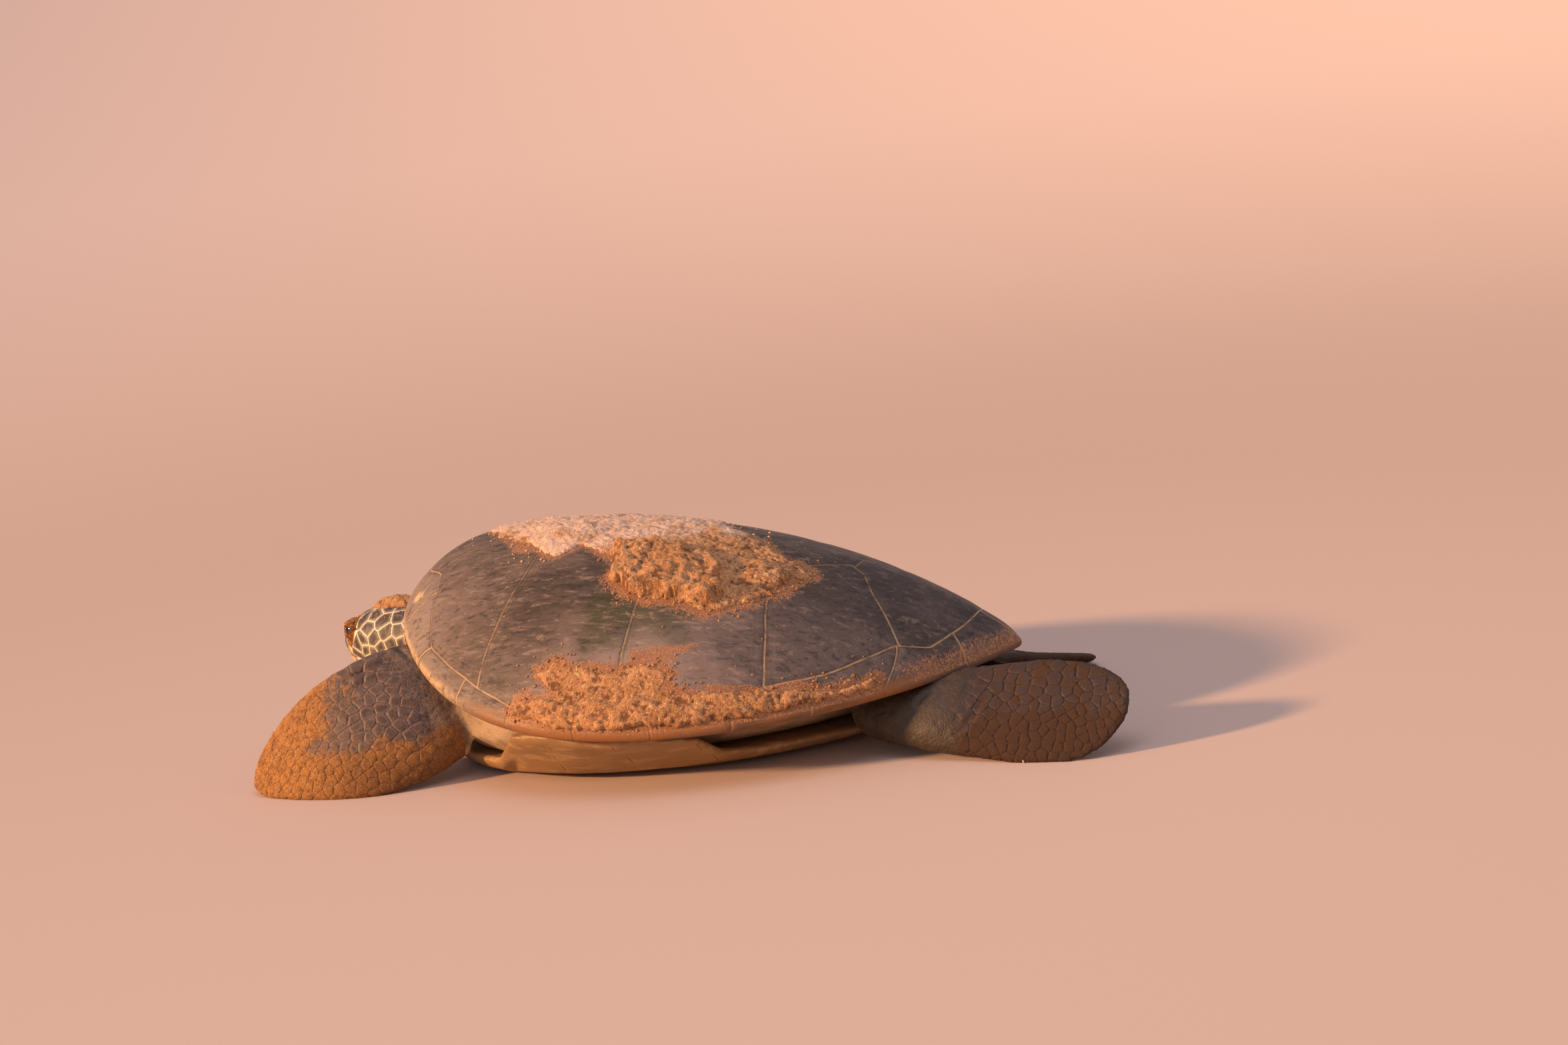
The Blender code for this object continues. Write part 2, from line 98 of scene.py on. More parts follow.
def add(tree, kind, sockets=(), **settings):
    """A new node: its settings, then its sockets, each a value or another node's output."""
    made = tree.nodes.new("ShaderNode" + kind)
    for name, value in settings.items():
        setattr(made, name, value)
    for key, value in dict(sockets).items():
        if isinstance(value, bpy.types.NodeSocket):
            tree.links.new(value, made.inputs[key])
        else:
            made.inputs[key].default_value = value
    return made.outputs


def new_piece(name, bm, finish, replaces=()):
    """A piece from a bmesh: smooth, riding on the model, standing for CAD nodes if they are named."""
    mesh = bpy.data.meshes.new(name)
    bm.to_mesh(mesh)
    bm.free()
    mesh.shade_smooth()
    mesh.materials.append(finish)
    made = bpy.data.objects.new(name, mesh)
    bpy.context.collection.objects.link(made)
    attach(made, "root")
    if replaces:
        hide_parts(*replaces)
    print(f"{name}: {sum(len(p.vertices) - 2 for p in mesh.polygons)} triangles")
    return made


def new_finish(name, roughness, ior=1.5, **sockets):
    """A material, its tree, its shader with what is the same all over, and the place of a point."""
    made = bpy.data.materials.new(name)
    made.use_nodes = True
    shader = made.node_tree.nodes["Principled BSDF"]
    shader.inputs["Roughness"].default_value = roughness
    shader.inputs["IOR"].default_value = ior
    for key, value in sockets.items():
        shader.inputs[key.replace("_", " ")].default_value = value
    return made, made.node_tree, shader, add(made.node_tree, "TexCoord")["Object"]


# %% [markdown]
# ## The stage
# A plain pale floor that curves up into a wall has no corner and no horizon, so
# nothing competes with the animal. It is one profile spun round the middle. A
# low warm sun shines from in front of her, a big pale window light hangs above,
# a weak one stands at the camera's side, and the sky fills the shade.

# %% Floor
FLAT_RADIUS, FLOOR_RADIUS, WALL_TOP = 5.0, 21.0, 4.8

bowl = bmesh.new()
profile = [Vector((0, 0, 0))]
for step in range(33):
    share = step / 32
    profile.append(Vector((FLAT_RADIUS + (FLOOR_RADIUS - FLAT_RADIUS) * share, 0, WALL_TOP * share**2.4)))
chain = [bowl.verts.new(point) for point in profile]
for low, high in zip(chain, chain[1:]):
    bowl.edges.new((low, high))
bmesh.ops.spin(bowl, geom=[*bowl.verts, *bowl.edges], cent=(0, 0, 0), axis=(0, 0, 1),
               angle=2 * pi, steps=96, use_merge=True)
bmesh.ops.remove_doubles(bowl, verts=bowl.verts, dist=1e-4)
bmesh.ops.recalc_face_normals(bowl, faces=bowl.faces)
floor_paint, floor_tree, floor_shader, floor_spot = new_finish("matt_painted_plaster", 0.9)
far_out = add(floor_tree, "VectorMath", {0: floor_spot}, operation="LENGTH")["Value"]
# Paler further out: painted light that brightens the far floor and the wall.
far_painted_light = add(floor_tree, "MapRange", {0: far_out, 1: 2.5, 2: 14.0})[0]
floor_colour = add(floor_tree, "Mix", {0: far_painted_light, 6: linear("#C3ADA2"), 7: linear("#DCCBC8")},
                   data_type="RGBA")[2]
floor_tree.links.new(floor_colour, floor_shader.inputs["Base Color"])
mesh = bpy.data.meshes.new("studio_floor")
bowl.to_mesh(mesh)
bowl.free()
mesh.shade_smooth()
mesh.materials.append(floor_paint)
studio_floor = bpy.data.objects.new("studio_floor", mesh)
bpy.context.collection.objects.link(studio_floor)
print("floor radius", FLOOR_RADIUS)

# %% Lights
def window_light(name, place, aim, size, watts, tint):
    """A square of light at a place, turned to face a point."""
    data = bpy.data.lights.new(name, "AREA")
    data.shape, data.size, data.energy, data.color = "SQUARE", size, watts, linear(tint)[:3]
    lamp = bpy.data.objects.new(name, data)
    bpy.context.collection.objects.link(lamp)
    lamp.location = place
    lamp.rotation_euler = (Vector(aim) - Vector(place)).to_track_quat("-Z", "Y").to_euler()
    return lamp


SHELL_MIDDLE = (0.0, 0.0, 0.15)
window_light("top_light", (1.2, 0.6, 3.6), SHELL_MIDDLE, 2.4, 34, "#F6F0FF")
window_light("camera_side_light", (3.6, -0.6, 1.7), SHELL_MIDDLE, 2.0, 8, "#FFE2D2")
low_sun = bpy.data.lights.new("low_sun", "SUN")
low_sun.energy, low_sun.angle, low_sun.color = 5.8, radians(5), linear("#FFC48C")[:3]
low_sun = bpy.data.objects.new("low_sun", low_sun)
bpy.context.collection.objects.link(low_sun)
low_sun.rotation_euler = Vector((-2.10, 2.95, -1.25)).to_track_quat("-Z", "Y").to_euler()

sky = bpy.data.worlds.new("pale_sky")
sky.use_nodes = True
sky.node_tree.nodes["Background"].inputs["Color"].default_value = linear("#EFE4EA")
sky.node_tree.nodes["Background"].inputs["Strength"].default_value = 0.55
bpy.context.scene.world = sky
bpy.context.scene.view_settings.view_transform = "Standard"

# %% [markdown]
# ## The shell's surface
# The upper shell is a dome drawn along rays, from its highest point to the rim.
# The solid has 48 rays, so it shows flats. Here the same dome is laid on a fine
# grid: `create_grid` makes the sheet, and each of its points goes to its place
# on the dome, then over the rim's rounded lip and back along the inner wall.
# The two measures that a shell is described by come for free: how far along
# the rim a point lies, and how far up from it, both in metres on the surface.

# %% Shell measures
SHELL_LENGTH, SHELL_HALF_WIDTH, SHELL_WALL = 0.95, 0.369, 0.012
APEX_SHARE, APEX_HEIGHT, FRONT_SHARE = 0.244, 0.329, 0.47
BLUNT_FRONT, BLUNT_REAR, BLUNT_CREST = 0.59, 0.75, 0.55
COLUMNS, CLIMB = 432, 92
# The lip's round: reach along the ray, and drop below the rim.
LIP = ((1.0025, 0.002), (1.0040, 0.0045), (1.0042, 0.0070), (1.0030, 0.0095), (1.0, 0.0117),
       (0.9945, 0.0133), (0.986, 0.0145), (0.975, 0.015), (0.955, 0.0145), (0.925, 0.013))
INNER_REACHES = (0.955, 0.92, 0.88, 0.82, 0.76, 0.66, 0.55, 0.40, 0.28, 0.12, 0.0)


def smooth(low, high, value):
    """0 below low, 1 above high, and an even S between them, for numbers or arrays."""
    share = np.clip((value - low) / (high - low), 0.0, 1.0)
    return share * share * (3 - 2 * share)


def rim_line(angle, blunt):
    """The plan outline and the height of the rim, by the angle round it."""
    share = (1 - np.cos(angle)) / 2
    widest = BLUNT_FRONT / (BLUNT_FRONT + blunt)
    wide = share**BLUNT_FRONT * (1 - share) ** blunt / (widest**BLUNT_FRONT * (1 - widest) ** blunt)
    x = np.where(np.sin(angle) >= 0, 1, -1) * SHELL_HALF_WIDTH * wide
    y = (share - FRONT_SHARE) * SHELL_LENGTH
    y = y + np.where(share < 0.5, 0.007 * np.exp(-((x / 0.055) ** 2)), 0)
    z = 0.086 + 0.149 * np.exp(-((share / 0.211) ** 1.27)) + 0.037 * share**4
    return np.stack([x, y, z], axis=-1)


angle = np.linspace(0, 2 * pi, COLUMNS + 1)
RIM = rim_line(angle, BLUNT_REAR)
CENTRE = np.array([0.0, (APEX_SHARE - FRONT_SHARE) * SHELL_LENGTH])
ray = RIM[:, :2] - CENTRE
along_body = ray[:, 1] / np.linalg.norm(ray, axis=1)
ARCH = 2.141 + (np.where(along_body > 0, 2.084, 2.967) - 2.141) * along_body**2


def dome_row(reach, inset=0.0):
    """One ring of the dome, at a reach from its middle, 0, to its rim, 1."""
    rise = np.clip(1 - reach**ARCH, 0, 1) ** 0.838
    outline = rim_line(angle, BLUNT_CREST + (BLUNT_REAR - BLUNT_CREST) * reach**2)[:, :2]
    flat = CENTRE + (outline - CENTRE) * reach * (1 - inset / (SHELL_HALF_WIDTH * 0.95))
    return np.column_stack([flat, RIM[:, 2] + (APEX_HEIGHT - RIM[:, 2]) * rise - inset])


def lip_row(reach, drop):
    return np.column_stack([CENTRE + ray * reach, RIM[:, 2] - drop])


# Rows an equal way apart on the flank, which is the longest climb that shows.
trial = np.linspace(0, 1, 1601)
flank = np.array([dome_row(reach)[COLUMNS // 4] for reach in trial])
climbed = np.concatenate([[0], np.cumsum(np.linalg.norm(np.diff(flank, axis=0), axis=1))])
REACHES = np.interp(np.linspace(0, climbed[-1], CLIMB + 1), climbed, trial)

SHELL = np.array([*(dome_row(reach) for reach in REACHES), *(lip_row(*step) for step in LIP),
                  *(dome_row(reach, SHELL_WALL) for reach in INNER_REACHES)])
steps = np.linalg.norm(np.diff(SHELL[:CLIMB + 1], axis=0), axis=2)
UP = np.zeros(SHELL.shape[:2])
UP[:CLIMB] = np.cumsum(steps[::-1], axis=0)[::-1]
round_rim = np.concatenate([[0], np.cumsum(np.linalg.norm(np.diff(RIM, axis=0), axis=1))])
HALF_RIM = round_rim[-1] / 2
ALONG = np.minimum(round_rim, 2 * HALF_RIM - round_rim)
print("half way round the rim:", round(HALF_RIM, 3), "m; up the flank:", round(climbed[-1], 3), "m")

# %% [markdown]
# ## Where the shell plates meet
# Horny plates, the scutes, cover the dome: one row of five down the middle, four
# wide ones on each side, and a ring of small ones at the rim. Their seams could
# be painted by a shader, but then they would be only as sharp as the grid. So
# each family of seams is written as a signed distance, in metres, that passes
# through zero on the seam, and the mesh is cut along that zero. The values are
# places on an adult's shell: sideways and share of the length, or along the rim.

# %% Seam lines
# The inner edge of the ring: how far along the rim, and how far up from it. It is
# widest over the shoulder, narrow on the flank, and steps in at the last side seam.
RING_EDGE = ((0, .055), (.10, .07), (.18, .10), (.22, .09), (.31, .035), (.42, .035), (.52, .02),
             (.70, .04), (1.0, .045), (1.13, .06), (1.17, .04), (1.32, .07))
# Seams across the ring: along the rim at its edge, and at the ring's inner edge.
# On the flank they come one to each 110 mm.
RING_SEAMS = ((.05, .055), (.105, .13), (.17, .225), (.28, .31), (.405, .42),
              (.51, .515), (.62, .62), (.73, .735), (.84, .85), (.95, .985), (1.06, 1.13), (1.195, 1.225))
# The side of the middle row, half its width at shares of the length: each plate
# is six-sided, wide at its middle and narrow where it meets the next.
MIDDLE_ROW = ((.04, .12), (.10, .105), (.215, .06), (.29, .125), (.41, .06), (.49, .12), (.60, .055),
              (.66, .10), (.755, .025), (.78, .04), (.80, .075), (.86, .15), (.90, .20))
MIDDLE_SEAMS = (.215, .41, .60, .755)
# Where a side plate ends, as shares of the length, to give each its own shade.
SIDE_ENDS = (.285, .487, .672)
# Seams between the side plates, sideways and share of the length.
SIDE_SEAMS = (((.10, .29), (.18, .285), (.29, .26), (.36, .26)),
              ((.09, .49), (.38, .49)),
              ((.07, .66), (.15, .665), (.25, .69), (.35, .71)))


FAR_OFF = 9.0             # metres: further than anything here


def from_line(points, x, y):
    """The distance from each point in plan to a chain of segments, and the way to it."""
    best = np.full(x.shape, FAR_OFF)
    way = np.zeros((*x.shape, 2))
    for (ax, ay), (bx, by) in zip(points, points[1:]):
        t = ((x - ax) * (bx - ax) + (y - ay) * (by - ay)) / ((bx - ax) ** 2 + (by - ay) ** 2)
        t = np.clip(t, 0, 1)
        dx, dy = x - (ax + t * (bx - ax)), y - (ay + t * (by - ay))
        far = np.hypot(dx, dy)
        near = far < best
        best = np.where(near, far, best)
        way = np.where(near[..., None], np.stack([dx, dy], -1) / np.maximum(far, 1e-9)[..., None], way)
    return best, way


def seam_fields(position, normal, along, up):
    """The signed distances: ring edge, middle row's side, side, middle and ring seams, tail seam."""
    x, y = np.abs(position[:, 0]), position[:, 1]
    share = y / SHELL_LENGTH + FRONT_SHARE
    nx, ny = np.abs(normal[:, 0]), normal[:, 1]

    def plan(points):
        return [(px, (ps - FRONT_SHARE) * SHELL_LENGTH) for px, ps in points]

    def on_slope(way):
        """How much longer a way is on the slope than in plan."""
        return np.sqrt(np.clip(1 - (way[:, 0] * nx + way[:, 1] * ny) ** 2, 0.09, 1))

    ring = np.interp(along, *zip(*RING_EDGE)) - up
    near, way = from_line(plan([(half, at) for at, half in MIDDLE_ROW]), x, y)
    middle_side = near * np.where(x > np.interp(share, *zip(*MIDDLE_ROW)), 1, -1) / on_slope(way)
    side, passed = np.full(x.shape, FAR_OFF), np.zeros(x.shape)
    for line in SIDE_SEAMS:
        near, way = from_line(plan(line), x, y)
        side = np.minimum(side, near / on_slope(way))
        passed += share > np.interp(x, *zip(*line))
    middle, counted = np.full(x.shape, FAR_OFF), np.zeros(x.shape)
    for at in MIDDLE_SEAMS:
        gap = share - at - 0.010 * (1 - (x / 0.06) ** 2)
        middle = np.minimum(middle, np.abs(gap) * SHELL_LENGTH)
        counted += gap > 0
    rise = np.clip(up / np.maximum(ring + up, 1e-3), 0, 1)
    across, crossed = np.full(x.shape, FAR_OFF), np.zeros(x.shape)
    for low, high in RING_SEAMS:
        gap = along - (low + (high - low) * rise)
        across = np.minimum(across, np.abs(gap))
        crossed += gap > 0
    return (ring, middle_side, side * (-1) ** passed, middle * (-1) ** counted,
            across * (-1) ** crossed, position[:, 0])


print("seams:", len(RING_SEAMS), "across the ring,", len(MIDDLE_SEAMS), "in the middle row")

# %% [markdown]
# ## The upper shell
# The grid has an edge where it closes on itself and two where it narrows to a
# point, and `remove_doubles` welds all three, so that the shell is one closed
# skin. Seams wander a little on a living shell, so smooth noise shifts them.

# %% Lay the grid on the dome
ROWS = len(SHELL) - 1
shell_bm = bmesh.new()
bmesh.ops.create_grid(shell_bm, x_segments=COLUMNS, y_segments=ROWS, size=1.0)
FIELD_NAMES = ("up", "along", "ring", "middle_side", "side", "middle", "across", "tail")
for name in FIELD_NAMES:
    shell_bm.verts.layers.float.new(name)
shell_up, shell_along, *shell_layers = (shell_bm.verts.layers.float[name] for name in FIELD_NAMES)
for vert in shell_bm.verts:
    column, row = round((vert.co.x + 1) / 2 * COLUMNS), round((vert.co.y + 1) / 2 * ROWS)
    vert.co = SHELL[row, column]
    vert[shell_along] = ALONG[column]
    vert[shell_up] = UP[row, column] if row <= CLIMB else -0.001 * (row - CLIMB)
bmesh.ops.remove_doubles(shell_bm, verts=shell_bm.verts, dist=2e-5)
bmesh.ops.recalc_face_normals(shell_bm, faces=shell_bm.faces)
if shell_bm.calc_volume(signed=True) < 0:
    bmesh.ops.reverse_faces(shell_bm, faces=shell_bm.faces)
shell_bm.normal_update()

LAST_LIP = -0.001 * (len(LIP) + 0.5)
verts = list(shell_bm.verts)
place = np.array([vert.co for vert in verts])
facing = np.array([vert.normal for vert in verts])
along = np.array([vert[shell_along] for vert in verts])
up = np.array([vert[shell_up] for vert in verts])
fields = seam_fields(place, facing, along, up)
wander = np.array([noise.noise(Vector(p) * 22.0) * 0.0022 for p in place])
for layer, field in zip(shell_layers, fields):
    for vert, value, shift in zip(verts, field, wander):
        vert[layer] = value + shift
print("shell grid:", len(shell_bm.faces), "faces")

# %% [markdown]
# A cut goes through every face that a line crosses: each edge whose two ends lie
# on different sides is split where the value is met, and `face_split` joins the
# new points across the faces. Three cuts to a seam, one in the middle and
# one on each side, give a groove with crisp edges.

# %% Cut the seams
SEAM_HALF = 0.0014


def cut_at(bm, layer, level, wanted):
    """Splits the wanted faces where a layer's value passes a level."""
    edges = {edge for face in bm.faces if wanted(face) for edge in face.edges}
    faces = set()
    for edge in sorted(edges, key=lambda e: e.index):
        first, second = edge.verts
        a, b = first[layer] - level, second[layer] - level
        if a * b >= 0:
            continue
        share = a / (a - b)
        if share < 0.1 or share > 0.9:
            (first if share < 0.1 else second)[layer] = level
            continue
        _, made = bmesh.utils.edge_split(edge, first, share)
        made[layer] = level
    bm.verts.index_update()
    on_level = [vert for vert in bm.verts if abs(vert[layer] - level) < 1e-7]
    near = {face for vert in on_level for face in vert.link_faces if wanted(face)}
    for face in sorted(near, key=lambda f: tuple(f.calc_center_median())):
        points = [vert for vert in face.verts if abs(vert[layer] - level) < 1e-7]
        if len(points) == 2 and not any(points[0] in edge.verts and points[1] in edge.verts
                                        for edge in face.edges):
            bmesh.utils.face_split(face, *points)
    bm.faces.index_update()
    bm.edges.index_update()


def mean(face, layer):
    return sum(vert[layer] for vert in face.verts) / len(face.verts)


RING, MIDDLE_SIDE, SIDE, MIDDLE, ACROSS, TAIL = shell_layers


def outside(face):
    return mean(face, shell_up) > LAST_LIP


SEAM_ZONES = (
    (RING, lambda face: mean(face, shell_up) > 0),
    (MIDDLE_SIDE, lambda face: mean(face, RING) < 0 and mean(face, shell_up) > 0),
    (SIDE, lambda face: mean(face, RING) < 0 < mean(face, MIDDLE_SIDE) and mean(face, shell_up) > 0),
    (MIDDLE, lambda face: (mean(face, RING) < 0 and mean(face, MIDDLE_SIDE) < 0
                           and mean(face, shell_up) > 0)),
    (ACROSS, lambda face: mean(face, RING) > 0 and outside(face)),
    (TAIL, lambda face: mean(face, RING) > 0 and outside(face) and mean(face, shell_along) > 1.23),
)
for layer, wanted in SEAM_ZONES:
    for level in (0.0, SEAM_HALF, -SEAM_HALF):
        cut_at(shell_bm, layer, level, wanted)
print("after the cuts:", len(shell_bm.faces), "faces")

# %% [markdown]
# Now the cuts become grooves: a point on a seam sinks by most of a millimetre,
# its neighbours on the two cuts beside it stay, and each plate swells a little
# towards its middle. The shell as a whole is not quite even, so slow noise
# moves it by a millimetre. What the finish needs to know is kept on the points:
# the distance to the nearest seam, and which part of the shell a point is on.

# %% Shape the plates
SEAM_DEPTH, PLATE_SWELL, UNEVEN = 0.0009, 0.0007, 0.0012


def seam_distance(vert):
    """How far a point of the shell is from the nearest seam."""
    far = abs(vert[RING]) if vert[shell_up] > 0 else 1.0
    if vert[RING] > -1e-6:
        far = min(far, abs(vert[ACROSS]))
        if vert[shell_along] > 1.22:
            far = min(far, abs(vert.co.x))
    if vert[RING] < 1e-6:
        far = min(far, abs(vert[MIDDLE_SIDE]))
        if vert[MIDDLE_SIDE] > -1e-6:
            far = min(far, abs(vert[SIDE]))
        if vert[MIDDLE_SIDE] < 1e-6:
            far = min(far, abs(vert[MIDDLE]))
    return far


for name in ("seam", "ring_part"):
    shell_bm.verts.layers.float.new(name)
shell_up, shell_along, *shell_layers = (shell_bm.verts.layers.float[name] for name in FIELD_NAMES)
RING, MIDDLE_SIDE, SIDE, MIDDLE, ACROSS, TAIL = shell_layers
SEAM, RING_PART = (shell_bm.verts.layers.float[name] for name in ("seam", "ring_part"))
tint = shell_bm.faces.layers.float.new("plate_tint")
shell_bm.normal_update()
for vert in shell_bm.verts:
    if vert[shell_up] < LAST_LIP:
        vert[SEAM] = 1.0
        continue
    far = seam_distance(vert)
    vert[SEAM] = far
    vert[RING_PART] = float(smooth(-0.004, 0.004, vert[RING]))
    groove = SEAM_DEPTH * max(0.0, 1 - far / SEAM_HALF)
    swell = PLATE_SWELL * float(smooth(SEAM_HALF, 0.022, far))
    slow = noise.noise(vert.co * 5.0) * UNEVEN + noise.noise(vert.co * 45.0) * 0.00022
    fade = float(smooth(0.0, 0.02, vert[shell_up]))
    vert.co += vert.normal * (swell * fade - groove + slow * fade)
for face in shell_bm.faces:
    middle = face.calc_center_median()
    row = 3 if mean(face, RING) > 0 else 1 if mean(face, MIDDLE_SIDE) > 0 else 2
    if row == 3:
        count = sum(mean(face, shell_along) > low for low, _ in RING_SEAMS)
    else:
        share = middle.y / SHELL_LENGTH + FRONT_SHARE
        count = sum(share > at for at in (SIDE_ENDS if row == 1 else MIDDLE_SEAMS))
    side = 0 if row == 2 else 1 if middle.x > 0 else 2
    face[tint] = (sin((row * 37 + count * 11 + side * 5) * 12.9898) * 43758.5453) % 1.0
print("seams sunk by", SEAM_DEPTH * 1000, "mm")

# %% [markdown]
# ## Where the sand lies
# Wet sand was thrown over the shell and stuck: a thick patch with a clod on the
# crown, and a band along the flank. Their outlines are closed lines, in plan for
# the crown and in the shell's own two measures for the flank. How deep a point
# lies inside an outline gives the crust its shape, and the shell round it its
# dust.

# %% Sand outlines
CROWN_SAND = ((.02, -.30), (.10, -.21), (.14, -.14), (.11, -.11), (.15, -.04), (.20, -.03), (.22, 0),
              (.215, .13), (.16, .19), (.09, .235), (.06, .17), (0, .10), (-.06, .04), (-.12, -.08),
              (-.09, -.22), (0, -.305))
FLANK_SAND = ((.52, .01), (.54, .035), (.60, .05), (.57, .08), (.60, .105), (.70, .09), (.75, .105),
              (.79, .085), (.76, .06), (.85, .045), (.95, .03), (1.0, .015), (1.06, .02), (1.04, .005),
              (.60, .005))
FLANK_DUST = ((.73, .105), (.74, .135), (.87, .14), (.86, .125), (.78, .10))
FAR_FLANK_SAND = ((.60, .01), (.63, .04), (.69, .055), (.72, .05), (.80, .075), (.88, .05), (.95, .04),
                  (1.03, .01), (.80, .005))


def outline_depth(outline, u, v):
    """How far inside a closed outline each point lies; below 0 outside it."""
    closed = [*outline, outline[0]]
    far, _ = from_line(closed, u, v)
    inside = np.zeros(u.shape, bool)
    for (au, av), (bu, bv) in zip(closed, closed[1:]):
        slope = (bu - au) / (bv - av if bv != av else 1e-9)
        inside ^= ((av > v) != (bv > v)) & (u < slope * (v - av) + au)
    return np.where(inside, far, -far)


def noise_at(points, scale, shift=0.0, stretch=(1, 1, 1)):
    """Smooth noise from -1 to 1 at each point; scale is per metre."""
    return np.array([noise.noise(Vector(p) + Vector((shift, shift, shift)))
                     for p in points * scale * np.array(stretch)])


points = np.array([vert.co for vert in shell_bm.verts])
along = np.array([vert[shell_along] for vert in shell_bm.verts])
up = np.array([vert[shell_up] for vert in shell_bm.verts])
ragged = noise_at(points, 30, 4.0) * 0.010 + noise_at(points, 90, 5.0) * 0.006
crown_depth = outline_depth(CROWN_SAND, points[:, 0], points[:, 1])
flank_depth = np.where(points[:, 0] > 0, outline_depth(FLANK_SAND, along, up),
                       outline_depth(FAR_FLANK_SAND, along, up))
dust = smooth(-0.034, 0.004, crown_depth + ragged) * 0.75
dust = np.maximum(dust, smooth(-0.028, 0.004, flank_depth + ragged) * 0.85)
streaky = np.where(points[:, 0] > 0, outline_depth(FLANK_DUST, along, up), -1.0)
dust = np.maximum(dust, smooth(-0.006, 0.006, streaky + ragged) * 0.62)
behind = smooth(1.07, 1.12, along) * smooth(0.055, 0.015, up + ragged)
dust = np.maximum(dust, behind * 0.50)
dust = np.where(up > -0.002, dust, 0)
lip = smooth(0.016, 0.001, up) * smooth(0.40, 0.50, along) * (1 - 0.6 * smooth(1.05, 1.15, along))
rim_worn = 0.7 * smooth(0.010, 0.000, up + 0.5 * ragged) * smooth(0.46, 0.34, along)
WORN_SPOT = np.array((.135, -.380, .250))
from_spot = np.linalg.norm(points - WORN_SPOT, axis=1)
rim_worn = np.maximum(rim_worn, smooth(0.016, 0.006, from_spot + ragged))
algae = smooth(-0.11, -0.03, points[:, 1]) * smooth(0.17, 0.08, points[:, 1])
algae *= smooth(0.17, 0.20, points[:, 2]) * smooth(0.29, 0.25, points[:, 2])
algae *= 0.55 + 0.45 * (points[:, 0] > 0)
for name, values in (("dust", dust), ("lip", lip), ("rim_worn", rim_worn), ("algae", algae)):
    layer = shell_bm.verts.layers.float.new(name)
    for vert, value in zip(shell_bm.verts, values):
        vert[layer] = float(value)
shell_tree = BVHTree.FromBMesh(shell_bm)
print("dusty shell points:", int((dust > 0.3).sum()))

# %% [markdown]
# ## The finish of the shell: keratin, grown in layers and worn by sand
# Scutes are horn, like a fingernail. Old ones are dull and dark, worn by sand,
# with mottling that runs along the body, a green film of algae, fine scratches,
# and a pale line where two plates meet. Light and shade are painted in as well:
# the front and the low flank paler, as if lit by a low sun from the front, the
# rear darker and cooler, a pale painted sheen on the middle of the flank, and a
# thin dark line of painted shade beside each seam.
# Each is a mask from a noise at that mark's real size, in metres because the
# nodes read Object coordinates, and each mask lays one colour over the last.

# %% Masks and layers
shell_finish, tree, shader, spot = new_finish("worn_scute_horn", 0.55, 1.54, Specular_IOR_Level=0.32)


def ramp(value, low, high):
    """0 below low and 1 above high; low may be the larger, and then it falls."""
    return add(tree, "MapRange", {0: value, 1: low, 2: high, 3: 0.0, 4: 1.0},
               interpolation_type="SMOOTHSTEP")[0]


def times(first, *others):
    """The product of masks: what they have in common."""
    for other in others:
        first = add(tree, "Math", {0: first, 1: other}, operation="MULTIPLY")[0]
    return first


def cloud(scale, detail=4.0, rough=0.55, stretch=(1, 1, 1), seed=0.0, twist=0.0):
    """Noise of a given scale, per metre, stretched where the mark is long."""
    at = add(tree, "Mapping", {"Vector": spot, "Location": (seed, seed * 0.7, seed * 0.3),
                               "Scale": stretch})[0]
    return add(tree, "TexNoise", {"Vector": at, "Scale": scale, "Detail": detail,
                                  "Roughness": rough, "Distortion": twist})["Fac"]


def attribute(name):
    return add(tree, "Attribute", attribute_name=name)["Fac"]


def lay(layers, ground):
    """Lays colours one over another: each layer is its masks and a colour."""
    colour = linear(ground)
    for *masks, code in layers:
        colour = add(tree, "Mix", {0: times(*masks), 6: colour, 7: linear(code)}, data_type="RGBA")[2]
    return colour


def cover(colour, relief=None, strength=0.4, depth=0.0010):
    """Gives the shader its colour and, where there is a relief, its bump."""
    tree.links.new(colour, shader.inputs["Base Color"])
    if relief:
        bumped = add(tree, "Bump", {"Height": relief, "Strength": strength, "Distance": depth})[0]
        tree.links.new(bumped, shader.inputs["Normal"])


print("helpers for masks:", [helper.__name__ for helper in (ramp, times, cloud, attribute, lay, cover)])

# %% Marks on the shell
place_parts = add(tree, "SeparateXYZ", {"Vector": spot})
seam_far, ring_part = attribute("seam"), attribute("ring_part")
ALONG_BODY = (1.0, 0.32, 1.0)
mottle = cloud(26, 5, 0.62, ALONG_BODY, seed=3)
streak = cloud(70, 4, 0.6, (1.0, 0.22, 1.0), seed=8)
blotch = cloud(9, 4, 0.6, (1.0, 0.6, 1.0), seed=14)
fine = cloud(420, 3, 0.7, seed=2)
scratch_way = add(tree, "Mapping", {"Vector": spot, "Scale": (1.0, 0.45, 1.0),
                                    "Rotation": (0.5, 0.3, 0.9)})[0]
scratch_bend = add(tree, "TexNoise", {"Vector": scratch_way, "Scale": 7.0, "Detail": 2.0})["Color"]
scratch_at = add(tree, "VectorMath", {0: scratch_way, 1: scratch_bend}, operation="ADD")[0]
scratch = add(tree, "TexVoronoi", {"Vector": scratch_at, "Scale": 19.0}, feature="DISTANCE_TO_EDGE")[0]
scratched = times(ramp(scratch, 0.016, 0.004), ramp(cloud(6, 2, 0.5, seed=31), 0.52, 0.62))
is_lip = attribute("lip")
grains = add(tree, "TexVoronoi", {"Vector": spot, "Scale": 800.0})["Color"]
grains = add(tree, "SeparateColor", {0: grains})[0]
dust_noise = add(tree, "Math", {0: cloud(160, 4, 0.7, seed=51), 1: times(grains, 0.25)})[0]
dusted = ramp(add(tree, "Math", {0: attribute("dust"), 1: dust_noise})[0], 1.02, 1.22)
